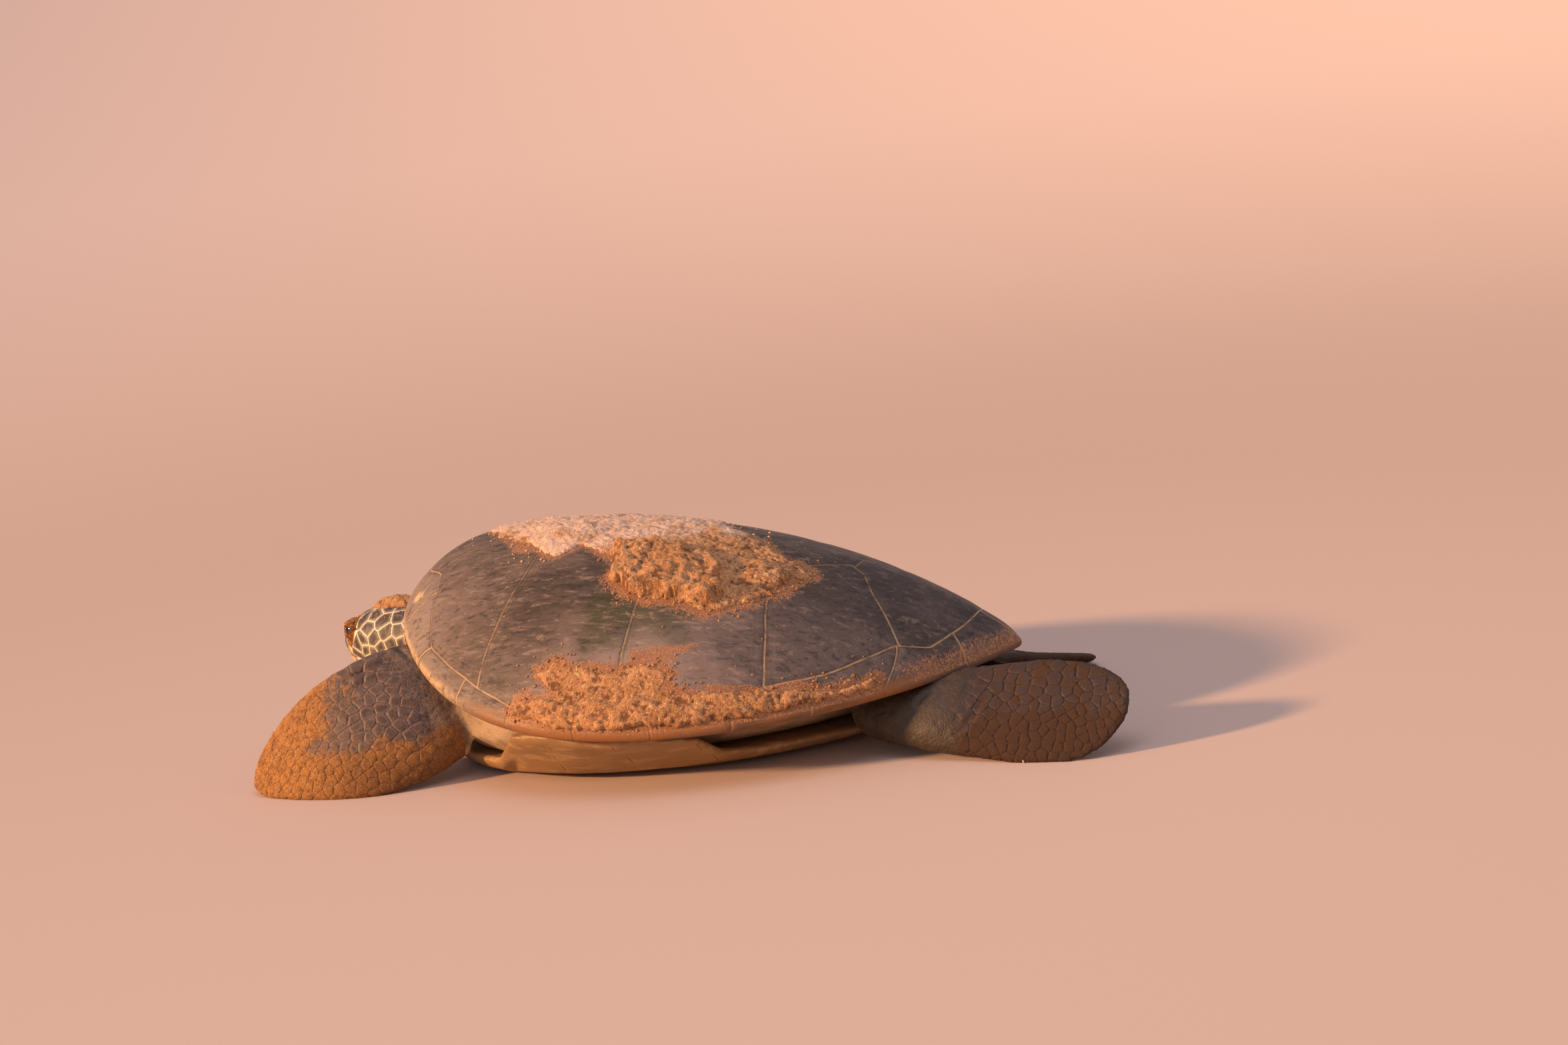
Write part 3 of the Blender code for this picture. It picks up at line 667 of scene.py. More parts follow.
# The front and the low flank: painted light, paler as if lit by a low sun from the front.
sunlit_front_part = times(ramp(place_parts[1], -0.12, -0.40), ramp(place_parts[2], 0.34, 0.23))
# The rear of the shell, darker and cooler: painted shade of the side turned from the sun.
rear_shade = ramp(place_parts[1], 0.02, 0.36)
sunlit_low_part = ramp(place_parts[2], 0.26, 0.12)
sunlit_part = add(tree, "Math", {0: times(sunlit_front_part, 0.65), 1: times(sunlit_low_part, 0.60)},
                operation="MAXIMUM")[0]
# A pale greyish-pink painted sheen over the middle of the flank.
flank_sheen = times(ramp(place_parts[2], 0.26, 0.18), ramp(place_parts[1], -0.20, -0.05),
                  ramp(place_parts[1], 0.26, 0.10))
specks = add(tree, "TexVoronoi", {"Vector": spot, "Scale": 120.0})
speck = times(ramp(specks["Distance"], 0.13, 0.06),
              ramp(add(tree, "SeparateColor", {0: specks["Color"]})[0], 0.93, 0.95))
is_algae, is_worn = attribute("algae"), attribute("rim_worn")
# How much painted sunlight a place gets; the pale seam line shows more where it gets more.
sunlit_share = add(tree, "Math", {0: sunlit_front_part, 1: sunlit_low_part}, operation="MAXIMUM")[0]
seam_sunlit_share = add(tree, "MapRange", {0: sunlit_share, 3: 0.35, 4: 0.85})[0]
hair = cloud(120, 5, 0.72, (1.0, 0.30, 1.0), seed=71, twist=0.6)
dark_way = cloud(34, 5, 0.68, (1.0, 0.25, 1.0), seed=61)
print("marks on the shell:", sum(node.type.startswith("TEX_") for node in tree.nodes), "patterns")

# %% Shell finish
shell_colour = lay((
    (ramp(blotch, 0.38, 0.62), "#5F4E43"),
    (ramp(mottle, 0.48, 0.66), 0.75, "#33281F"),
    # Painted shade at the rear.
    (rear_shade, 0.78, "#2B2524"),
    (ramp(dark_way, 0.52, 0.64), 0.55, "#2B221C"),
    (ramp(cloud(13, 4, 0.6, ALONG_BODY, seed=21), 0.50, 0.66), ramp(streak, 0.42, 0.60), 0.60, "#3F3A1E"),
    (ramp(add(tree, "Math", {0: is_algae, 1: times(streak, 0.9)})[0], 1.05, 1.42), 0.85, "#3C3A1A"),
    (ramp(streak, 0.55, 0.72), 0.45, "#7B675A"),
    # Painted light: the front and the low flank paler, the front of the rim's ring paler again.
    (sunlit_part, ramp(blotch, 0.20, 0.60), "#8A7870"),
    (ring_part, sunlit_front_part, 0.60, "#948478"),
    (ramp(hair, 0.54, 0.66), 0.62, "#937F72"),
    (ramp(hair, 0.47, 0.37), 0.65, "#1F1812"),
    (ramp(attribute("plate_tint"), 0.0, 1.0), 0.16, "#211A15"),
    (scratched, 0.45, "#9C8874"),
    (ramp(fine, 0.58, 0.75), 0.30, "#8C7767"),
    # The painted sheen on the middle of the flank.
    (flank_sheen, ramp(cloud(5, 3, 0.5, seed=91), 0.42, 0.62), 0.40, "#A08C84"),
    # More painted shade at the rear, cooler in tint.
    (rear_shade, 0.38, "#1D1A20"),
    (speck, 0.7, "#B9A585"),
    # A thin dark line beside each seam: painted shade of its groove.
    (ramp(seam_far, 0.0060, 0.0014), ramp(blotch, 0.35, 0.6), 0.55, "#2E231B"),
    (ramp(seam_far, 0.0019, 0.0007), ramp(cloud(60, 3, 0.6, seed=44), 0.28, 0.52), seam_sunlit_share, "#B5946A"),
    (is_worn, ramp(cloud(80, 4, 0.7, seed=81), 0.36, 0.52), "#C4A47A"),
    (is_lip, ramp(blotch, 0.20, 0.55), "#8A5A30"),
    (dusted, "#85593A"),
    (dusted, ramp(grains, 0.60, 0.85), "#A9794F"),
), "#4A3C33")
gloss = add(tree, "MapRange", {0: mottle, 1: 0.3, 2: 0.7, 3: 0.46, 4: 0.68})[0]
tree.links.new(gloss, shader.inputs["Roughness"])
relief = add(tree, "Math", {0: times(hair, 0.8), 1: times(fine, 0.35)}, operation="ADD")[0]
growth = add(tree, "Math", {0: times(seam_far, 900.0)}, operation="SINE")[0]
growth = times(growth, ramp(seam_far, 0.035, 0.006), 0.10)
relief = add(tree, "Math", {0: relief, 1: growth}, operation="ADD")[0]
relief = add(tree, "Math", {0: relief, 1: times(scratched, -0.5)}, operation="ADD")[0]
cover(shell_colour, relief, 0.55, 0.0012)
new_piece("carapace_skin", shell_bm, shell_finish, ["carapace"])

# %% [markdown]
# ## One skin over the flesh
# The soft parts are solids of their own, with thin gaps between them. A real
# animal has one skin, so copies of them, fattened until the gaps close, are
# melted together by a voxel remesh, which also gives an even mesh to work on.
# Smoothing then takes the flats off, and the skin is drawn in again so that it
# lies inside the solids. What lies hidden under the shell needs few faces.

# %% Melt the flesh together
LIMBS = [f"{part}_{side}" for side in ("left", "right")
         for part in ("front_arm", "front_flipper", "hind_leg", "hind_flipper")]
FLESH = ["trunk", "neck", "head", "lower_jaw", "tail", *LIMBS]
UNDER_HORN = ["beak_upper", "beak_lower", "eye_left", "eye_right"]
VOXEL, GROW = 0.0040, 0.0005

melt = bmesh.new()
for name in FLESH + UNDER_HORN:
    melt.from_mesh(NODES[name].data)
bmesh.ops.remove_doubles(melt, verts=melt.verts, dist=1e-5)
melt_mesh = bpy.data.meshes.new("melt")
melt.to_mesh(melt_mesh)
melt.free()
melt_object = bpy.data.objects.new("melt", melt_mesh)
bpy.context.collection.objects.link(melt_object)
fatten = melt_object.modifiers.new("Fatten", "DISPLACE")
fatten.strength, fatten.mid_level = GROW, 0.0
remesh = melt_object.modifiers.new("Melt", "REMESH")
remesh.mode, remesh.voxel_size = "VOXEL", VOXEL
calm = melt_object.modifiers.new("Calm", "SMOOTH")
calm.factor, calm.iterations = 0.5, 9
slim = melt_object.modifiers.new("Slim", "DISPLACE")
slim.strength, slim.mid_level = -GROW, 0.0


def applied(made):
    """An object's mesh with its modifiers applied, as a bmesh; the object goes."""
    bpy.context.view_layer.update()
    bm = bmesh.new()
    bm.from_object(made, bpy.context.evaluated_depsgraph_get())
    bpy.data.objects.remove(made)
    return bm


skin_bm = applied(melt_object)
print("melted skin:", len(skin_bm.faces), "faces")


# %% Thin out what is hidden
def under_shell(points):
    """How far towards the rim each point lies in plan: 0 at the shell's middle, 1 at its rim."""
    away = points[:, :2] - CENTRE
    way = np.arctan2(away[:, 0], -away[:, 1]) % (2 * pi)
    rim_way = np.unwrap(np.arctan2(ray[:-1, 0], -ray[:-1, 1]))
    reach = np.linalg.norm(ray[:-1], axis=1)
    order = np.argsort(rim_way % (2 * pi))
    return np.hypot(*away.T) / np.interp(way, (rim_way % (2 * pi))[order], reach[order], period=2 * pi)


thin_mesh = bpy.data.meshes.new("thin")
skin_bm.to_mesh(thin_mesh)
skin_bm.free()
points = np.empty(len(thin_mesh.vertices) * 3)
thin_mesh.vertices.foreach_get("co", points)
points = points.reshape(-1, 3)
reach = under_shell(points)
rim_drop = np.interp(points[:, 1], RIM[:COLUMNS // 2 + 1, 1], RIM[:COLUMNS // 2 + 1, 2]) - points[:, 2]
hidden = (reach < 0.76) | ((reach < 0.93) & ((rim_drop < 0.016) | (points[:, 2] < 0.028)))
thin_object = bpy.data.objects.new("thin", thin_mesh)
bpy.context.collection.objects.link(thin_object)
group = thin_object.vertex_groups.new(name="hidden")
group.add([int(i) for i in np.flatnonzero(hidden)], 1.0, "REPLACE")
fewer = thin_object.modifiers.new("Fewer", "DECIMATE")
fewer.vertex_group, fewer.vertex_group_factor = "hidden", 1.0
fewer.ratio = float(1 - 0.97 * hidden.mean())
skin_bm = applied(thin_object)
print("hidden share", round(float(hidden.mean()), 2), "- skin after thinning:", len(skin_bm.faces), "faces")

# %% [markdown]
# ## The head's own frame
# The head turns to its right and dips a little, so its features are placed in
# its own directions: forward along the muzzle, to its left, and up. An eye's
# place and size come from its solid. The head gets more faces than the rest,
# and the skin round the eyes gets more again.

# %% Head frame and finer head
HEAD_TURN, HEAD_DIP = radians(18), radians(5)
HEAD_ORIGIN = Vector((-0.002, -0.447, 0.168))
HEAD_FORWARD = (Vector((-sin(HEAD_TURN), -cos(HEAD_TURN), 0)) * cos(HEAD_DIP)
                - Vector((0, 0, sin(HEAD_DIP))))
HEAD_LEFT = Vector((cos(HEAD_TURN), -sin(HEAD_TURN), 0))
HEAD_UP = HEAD_FORWARD.cross(HEAD_LEFT)
HEAD_AXES = np.array([HEAD_FORWARD, HEAD_LEFT, HEAD_UP])
HEAD_BOX = 0.085          # half the width and the height of a box round the head


def in_head(along, aside, above):
    return HEAD_ORIGIN + HEAD_FORWARD * along + HEAD_LEFT * aside + HEAD_UP * above


def head_frame(points):
    """Points as distances along the muzzle, to the left, and above its axis."""
    return (np.asarray(points) - np.array(HEAD_ORIGIN)) @ HEAD_AXES.T


def in_head_box(points, start=-0.03):
    """True for the points of the head, and not for a flipper that reaches as far forward."""
    forward, left, above = head_frame(points).T
    return (forward > start) & (np.abs(left) < HEAD_BOX) & (np.abs(above) < HEAD_BOX)


def places(bm):
    return np.array([vert.co for vert in bm.verts])


def refine(bm, chosen, rounds=1):
    """Splits every edge between chosen points, and evens out the new ones."""
    picked = {vert for vert, pick in zip(bm.verts, chosen) if pick}
    edges = [edge for edge in bm.edges if edge.verts[0] in picked and edge.verts[1] in picked]
    bmesh.ops.subdivide_edges(bm, edges=edges, cuts=1, use_grid_fill=True)
    inner = [vert for vert in bm.verts
             if vert.link_faces and any(edge.other_vert(vert) in picked for edge in vert.link_edges)]
    for _ in range(rounds):
        bmesh.ops.smooth_vert(bm, verts=inner, factor=0.5, use_axis_x=True, use_axis_y=True,
                              use_axis_z=True)


EYES = []
for side, word in ((1, "left"), (-1, "right")):
    low, high = (Vector(corner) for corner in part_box(f"eye_{word}"))
    gaze = (HEAD_LEFT * side * 0.93 + HEAD_FORWARD * 0.30 + HEAD_UP * 0.17).normalized()
    EYES.append(((low + high) / 2, (high - low).z / 2, gaze, side, word))
refine(skin_bm, in_head_box(places(skin_bm), -0.004), 2)
points = places(skin_bm)
near_eye = np.zeros(len(points), bool)
for centre, radius, gaze, side, word in EYES:
    near_eye |= np.linalg.norm(points - np.array(centre + gaze * radius * 0.6), axis=1) < 0.027
refine(skin_bm, near_eye, 1)
print("eyes:", [(word, round(radius, 4)) for _, radius, _, _, word in EYES],
      "- skin faces:", len(skin_bm.faces))

# %% [markdown]
# ## Lids, mouth and nostrils
# A lid is skin that lies over the ball and ends in a thick, soft edge. Round
# each eye, every point of the skin has a direction from the ball's middle. A
# measure that is 1 on an almond round the line of sight says what to do with
# it: inside, it goes behind the ball, at 1 it stands a lid's thickness proud of
# it, and further out a crease and a brow lead back to the face. The mesh is
# first cut on the almond, so the lid's edge is clean. The mouth is a groove cut
# in the same way, and the nostrils are two pits.

# %% Lids
ALMOND_LONG, ALMOND_HIGH = 0.66, 0.43      # half the opening, as angles at the ball's middle
LID_THICK, LID_EDGE = 0.0024, 1.16
EYE_REACH, BEHIND_BALL, LID_CLEAR = 0.045, 0.0026, 0.0018
MOUTH_HALF, MOUTH_DEPTH, LIP_DEPTH = 0.0010, 0.0026, 0.0009
MOUTH = ((0.088, -0.0325), (0.098, -0.030), (0.112, -0.0275), (0.140, -0.0225), (0.20, -0.016))


def eye_angles(points, eye):
    """How far forward and up, as angles, each point lies from the line of sight, and how far out."""
    centre, radius, gaze, side, word = eye
    forward = (HEAD_FORWARD - gaze * HEAD_FORWARD.dot(gaze)).normalized()
    upward = (HEAD_UP - gaze * HEAD_UP.dot(gaze)).normalized()
    upward = (upward - forward * upward.dot(forward)).normalized()
    out = points - np.array(centre)
    depth = out @ np.array(gaze)
    a, b = np.arctan2(out @ np.array(forward), depth), np.arctan2(out @ np.array(upward), depth)
    return a, b, np.linalg.norm(out, axis=1), depth


def almond(a, b):
    b = b + 0.10 * a                        # the opening slants down towards the beak
    high = np.where(b > 0, ALMOND_HIGH, ALMOND_HIGH * 0.92)
    return (np.abs(a / ALMOND_LONG) ** 1.6 + np.abs(b / high) ** 2) ** (1 / 1.8)


def set_layer(bm, name, values):
    """Keeps one value for each point, under a name that a finish can read."""
    layer = bm.verts.layers.float.get(name) or bm.verts.layers.float.new(name)
    for vert, value in zip(bm.verts, values):
        vert[layer] = float(value)


skin_bm.verts.index_update()
skin_bm.edges.index_update()
points = places(skin_bm)
lid_at = np.full(len(points), FAR_OFF)
for eye in EYES:
    a, b, out, depth = eye_angles(points, eye)
    lid_at = np.where((depth > 0) & (out < EYE_REACH), np.minimum(lid_at, almond(a, b)), lid_at)
head_at = head_frame(points)
mouth_at = head_at[:, 2] - np.interp(head_at[:, 0], *zip(*MOUTH))
mouth_at = np.where((head_at[:, 0] > 0.084) & in_head_box(points), mouth_at, FAR_OFF)
set_layer(skin_bm, "lid", lid_at)
set_layer(skin_bm, "mouth", mouth_at)
lid_layer, mouth_layer = (skin_bm.verts.layers.float[n] for n in ("lid", "mouth"))
skin_bm.faces.index_update()
for layer, levels in ((lid_layer, (1.0, LID_EDGE)), (mouth_layer, (0.0, MOUTH_HALF, -MOUTH_HALF))):
    for level in levels:
        cut_at(skin_bm, layer, level, lambda face: all(vert[layer] < 5 for vert in face.verts))

points = places(skin_bm)
for eye in EYES:
    centre, radius, gaze, side, word = eye
    a, b, out, depth = eye_angles(points, eye)
    s = np.array([vert[lid_layer] for vert in skin_bm.verts])
    near = (depth > 0) & (out < EYE_REACH) & (s < 3.2)
    lid = radius + LID_THICK - 0.0012 * smooth(1.30, 1.42, s) * (1 - smooth(1.50, 1.64, s))
    lid += 0.0013 * smooth(1.5, 1.75, s) * (b > 0) * smooth(0.05, 0.35, b)
    lid -= 0.0010 * (1 - smooth(1.0, LID_EDGE, s))
    back = smooth(1.85, 3.0, s)
    goal = np.where(s < 0.999, radius - BEHIND_BALL, np.maximum(lid, 0) * (1 - back) + out * back)
    goal = np.where((s >= 0.999) & (out > goal) & (s > 1.7), out, goal)
    sunk = (s >= 0.999) & (out < radius + LID_CLEAR) & (out > 0.5 * radius)
    goal = np.where(sunk, np.maximum(goal, radius + LID_CLEAR), goal)
    near = near | sunk
    scale = np.where(near, goal / np.maximum(out, 1e-6), 1.0)
    points = np.array(centre) + (points - np.array(centre)) * scale[:, None]
for vert, point in zip(skin_bm.verts, points):
    vert.co = point
print("lids over both eyes,", round(2000 * EYES[0][1] * sin(ALMOND_HIGH), 1), "mm open")

# %% Mouth and nostrils
NOSTRIL, NOSTRIL_DEPTH = Vector((0.1765, 0.0062, 0.0085)), 0.0028
skin_bm.normal_update()
head_at = head_frame(points)
for vert, (forward, left, above) in zip(skin_bm.verts, head_at):
    gap = abs(vert[mouth_layer])
    if gap < 0.012:
        corner = float(smooth(0.086, 0.100, forward))
        vert.co -= vert.normal * corner * (MOUTH_DEPTH * max(0.0, 1 - gap / MOUTH_HALF)
                                           + LIP_DEPTH * float(1 - smooth(MOUTH_HALF, 0.009, gap)))
    pit = (Vector((forward, abs(left), above)) - NOSTRIL).length
    if pit < 0.007:
        inwards = (vert.normal + HEAD_FORWARD).normalized()
        vert.co -= inwards * NOSTRIL_DEPTH * float(1 - smooth(0.0008, 0.0042, pit))
print("mouth from", MOUTH[0], "to the tip")

# %% [markdown]
# ## Where each limb's skin is
# Folds, scales and sand follow a limb, so a point of the skin is placed on it
# by two measures: how many rings it lies out from the shell, 0 to 8, and how
# far back from the leading edge, 0 to 1. The rings are those of the solids: a
# point on the leading edge and one on the trailing edge.

# %% Limb measures
FRONT_RINGS = (((.100, -.290, .175), (.120, -.190, .085)), ((.165, -.375, .190), (.185, -.235, .058)),
               ((.205, -.428, .191), (.250, -.272, .024)), ((.240, -.482, .172), (.300, -.310, .004)),
               ((.270, -.534, .132), (.334, -.368, -.006)), ((.288, -.572, .088), (.348, -.432, -.008)),
               ((.298, -.593, .050), (.346, -.500, -.008)), ((.305, -.598, .024), (.334, -.555, -.002)),
               ((.312, -.595, .010), (.322, -.580, .003)))
LEFT_HIND_RINGS = (((.070, .280, .108), (.160, .280, .034)), ((.082, .350, .116), (.184, .345, .022)),
                   ((.094, .420, .112), (.200, .415, .010)), ((.100, .478, .110), (.206, .470, .004)),
                   ((.100, .532, .119), (.215, .525, -.004)), ((.097, .585, .122), (.222, .580, -.008)),
                   ((.100, .637, .114), (.214, .632, -.004)), ((.116, .672, .098), (.192, .667, .024)),
                   ((.142, .690, .078), (.168, .687, .052)))
RIGHT_HIND_RINGS = (((.080, .290, .098), (.150, .250, .052)), ((.110, .352, .090), (.208, .300, .038)),
                    ((.140, .400, .072), (.248, .334, .022)), ((.170, .440, .056), (.282, .362, .012)),
                    ((.202, .478, .044), (.318, .388, .004)), ((.238, .514, .036), (.350, .418, -.003)),
                    ((.276, .540, .028), (.370, .452, -.004)), ((.310, .548, .018), (.374, .486, .000)),
                    ((.338, .540, .010), (.362, .518, .004)))
LIMB_RINGS = {("front", 1): FRONT_RINGS, ("front", -1): FRONT_RINGS,
              ("hind", 1): LEFT_HIND_RINGS, ("hind", -1): RIGHT_HIND_RINGS}


def limb_measures(points, rings, side):
    """Rings out from the shell, share from leading to trailing edge, and distance off the blade."""
    lead, trail = (np.array([ring[k] for ring in rings]) * (side, 1, 1) for k in (0, 1))
    middle = (lead + trail) / 2
    best, out = np.full(len(points), FAR_OFF), np.zeros(len(points))
    for k, (a, b) in enumerate(zip(middle, middle[1:])):
        t = np.clip((points - a) @ (b - a) / ((b - a) @ (b - a)), 0, 1)
        far = np.linalg.norm(points - (a + t[:, None] * (b - a)), axis=1)
        out = np.where(far < best, k + t, out)
        best = np.minimum(best, far)
    ends = np.arange(len(lead))
    first, last = (np.stack([np.interp(out, ends, edge[:, i]) for i in range(3)], 1)
                   for edge in (lead, trail))
    chord = last - first
    back = ((points - first) * chord).sum(1) / (chord * chord).sum(1)
    off = np.linalg.norm(points - (first + back[:, None] * chord), axis=1)
    return out, back, off


def limb_masks(points, reach):
    """For each limb, its measures and a mask of the points that are on it, outside the shell."""
    found = {}
    for (kind, side), rings in LIMB_RINGS.items():
        out, back, off = limb_measures(points, rings, side)
        there = (points[:, 0] * side > 0.04) & ((points[:, 1] < -0.16) if kind == "front"
                                                else (points[:, 1] > 0.24))
        there &= (off < 0.065) & (back > -0.35) & (back < 1.35) & (reach > 0.86)
        there &= ~in_head_box(points)
        found[kind, side] = (out, back, there)
    return found


points = places(skin_bm)
reach = under_shell(points)
limbs = limb_masks(points, reach)
for key, (out, back, there) in limbs.items():
    print(key, "skin points:", int(there.sum()))

# %% [markdown]
# ## Folds and wrinkles
# Skin that has to stretch lies in folds when it doesn't: deep ones where a limb
# and the neck leave the shell, finer ones all over. The deep folds on the
# shoulder and the thigh are lines in space, each a groove with a soft roll
# beside it. The fine ones come from noise: where it passes through zero there is
# a crease, which gives long, branching wrinkles. On the neck they run round it.

# %% Folds
FOLDS = (  # points, depth, half width, in metres
    (((.168, -.386, .214), (.206, -.384, .189), (.226, -.350, .180)), .0050, .0050),
    (((.258, -.432, .166), (.236, -.395, .175), (.222, -.358, .180)), .0042, .0042),
    (((.268, -.420, .150), (.250, -.380, .163), (.240, -.340, .166)), .0030, .0040),
    (((.290, -.400, .110), (.272, -.350, .120), (.262, -.305, .118)), .0026, .0050),
    (((.206, .420, .050), (.180, .455, .080), (.150, .465, .098)), .0030, .0045),
    (((.196, .455, .036), (.186, .475, .060), (.160, .492, .088)), .0024, .0040),
    (((.180, .395, .080), (.165, .420, .096), (.140, .436, .106)), .0026, .0040),
)


def from_chain(points, chain):
    """The distance from each point to a chain of segments in space."""
    best = np.full(len(points), FAR_OFF)
    for a, b in zip(chain, chain[1:]):
        a, b = np.array(a), np.array(b)
        t = np.clip((points - a) @ (b - a) / ((b - a) @ (b - a)), 0, 1)
        best = np.minimum(best, np.linalg.norm(points - (a + t[:, None] * (b - a)), axis=1))
    return best


def creases(values, width):
    """1 on the lines where the noise passes through zero, 0 away from them."""
    return 1 - smooth(0.0, width, np.abs(values))


head_at = head_frame(points)
on_head = smooth(-0.012, 0.004, head_at[:, 0]) * in_head_box(points, -0.02)
neck_part = smooth(-0.16, -0.06, head_at[:, 0]) * (1 - on_head) * smooth(0.90, 1.0, reach) \
    * (np.abs(head_at[:, 1]) < 0.14) * (points[:, 1] < -0.28)
sink = np.zeros(len(points))
for side in (1, -1):
    for chain, depth, half in FOLDS:
        far = from_chain(points, [(x * side, y, z) for x, y, z in chain])
        roll = np.exp(-((far - 2.3 * half) / (1.2 * half)) ** 2)
        sink += depth * (np.exp(-((far / half) ** 2)) - 0.45 * roll)
ring_way = head_at[:, 0] * 95 + noise_at(points, 16, 5.0) * 2.4
neck_rings = creases(np.sin(ring_way), 0.34) * (0.5 + 0.5 * noise_at(points, 30, 9.0))
sink += 0.0022 * neck_part * np.clip(neck_rings, 0, 1)
root = np.zeros(len(points))
for (kind, side), (out, back, there) in limbs.items():
    root = np.maximum(root, there * (1 - smooth(2.6, 4.6, out)))
soft = np.clip(root + neck_part, 0, 1)
wrinkle = creases(noise_at(points, 42, 1.0, (1.0, 1.0, 1.6)), 0.16)
small_wrinkle = creases(noise_at(points, 95, 4.0), 0.22)
sink += soft * (0.0012 * wrinkle + 0.0005 * small_wrinkle)
loose = (reach > 0.86) * (1 - on_head)
sink += loose * (noise_at(points, 14, 2.0) * 0.0012)
skin_bm.normal_update()
for vert, depth in zip(skin_bm.verts, sink):
    if abs(depth) > 1e-6:
        vert.co -= vert.normal * float(depth)
print("folds:", len(FOLDS) * 2, "- deepest", round(float(sink.max()) * 1000, 1), "mm")

# %% [markdown]
# ## What the skin's colours follow
# Dark above and pale below is the rule on a sea animal. The folds of the neck,
# the throat and the roots of the limbs are pale too, and sand clings to what
# has just been dug in. These are kept as numbers on the skin's points, and the
# finish reads them by name. Where sand clings, the skin is also roughened.

# %% Skin parts
points = places(skin_bm)
skin_bm.normal_update()
facing = np.array([vert.normal for vert in skin_bm.verts])
head_at = head_frame(points)
pale = smooth(0.15, -0.55, facing[:, 2]) * 0.85
pale = np.maximum(pale, 0.92 * neck_part)
pale = np.maximum(pale, (reach < 1.02) * smooth(1.04, 0.96, reach) * 0.2)
pale = np.maximum(pale, on_head * smooth(-0.030, -0.052, head_at[:, 2]) * 0.9)
sandy = np.zeros(len(points))
patchy = noise_at(points, 17, 7.0) * 0.6 + noise_at(points, 60, 8.0) * 0.4
for (kind, side), (out, back, there) in limbs.items():
    if kind == "front":
        reached = np.maximum(smooth(-0.38, -0.56, points[:, 1] + 0.05 * patchy),
                             smooth(0.120, 0.020, points[:, 2] + 0.03 * patchy))
        reached = np.maximum(reached, 0.9 * smooth(0.78, 1.0, back + 0.25 * patchy) * smooth(2.0, 3.0, out))
        sandy = np.maximum(sandy, there * reached * smooth(0.6, 1.8, out))
    else:
        thigh = there * (1 - smooth(2.0, 3.4, out))
        pale = np.maximum(pale, thigh * (0.62 + 0.3 * patchy))
        reached = 0.34 + 0.35 * smooth(-0.1, 0.5, patchy)
        reached += smooth(0.065, 0.010, points[:, 2] + 0.02 * patchy)
        sandy = np.maximum(sandy, there * np.clip(reached, 0, 1) * smooth(2.2, 3.6, out))
for centre, radius, gaze, side, word in EYES:
    away = head_frame(points) - head_frame([centre])[0]
    tall = np.where(away[:, 2] < 0, 0.0235, 0.0255)
    drift = np.hypot((away[:, 0] - 0.001 + 0.20 * away[:, 2]) / 0.0165, away[:, 2] / tall)
    close = (np.sign(head_at[:, 1]) == side) & (head_at[:, 0] > 0.05) & in_head_box(points)
    amount = 0.85 if side > 0 else 0.6
    sandy = np.maximum(sandy, amount * close * smooth(1.25, 0.85, drift + 0.20 * patchy))
for vert in skin_bm.verts:
    vert.co.z = max(vert.co.z, 0.0)
grit = noise_at(points, 210, 3.0) * 0.5 + noise_at(points, 480, 6.0) * 0.5
for vert, amount, grain in zip(skin_bm.verts, sandy, grit):
    if amount > 0.02 and vert[lid_layer] > 1.0:
        vert.co += vert.normal * float(amount * (0.0003 + 0.0006 * grain))
        vert.co.z = max(vert.co.z, 0.0)
set_layer(skin_bm, "pale", np.clip(pale, 0, 1))
set_layer(skin_bm, "sandy", np.clip(sandy, 0, 1))
folded = soft * np.maximum(wrinkle, 0.6 * small_wrinkle) + neck_part * neck_rings
set_layer(skin_bm, "crease", np.clip(folded, 0, 1))
set_layer(skin_bm, "face", on_head)
lid_layer, mouth_layer = (skin_bm.verts.layers.float[n] for n in ("lid", "mouth"))
print("sandy points:", int((sandy > 0.5).sum()))

# %% [markdown]
# ## The finish of the skin: dry keratin scales over soft hide
# Dried skin scatters light close to its surface and is never glossy. Between
# the plates it is a net of tiny scales, about 6 mm across, drawn by a Voronoi
# texture at that real size; the creases are darker with painted shade, pale hide
# shows below, and damp sand is a warm, rough, speckled brown.

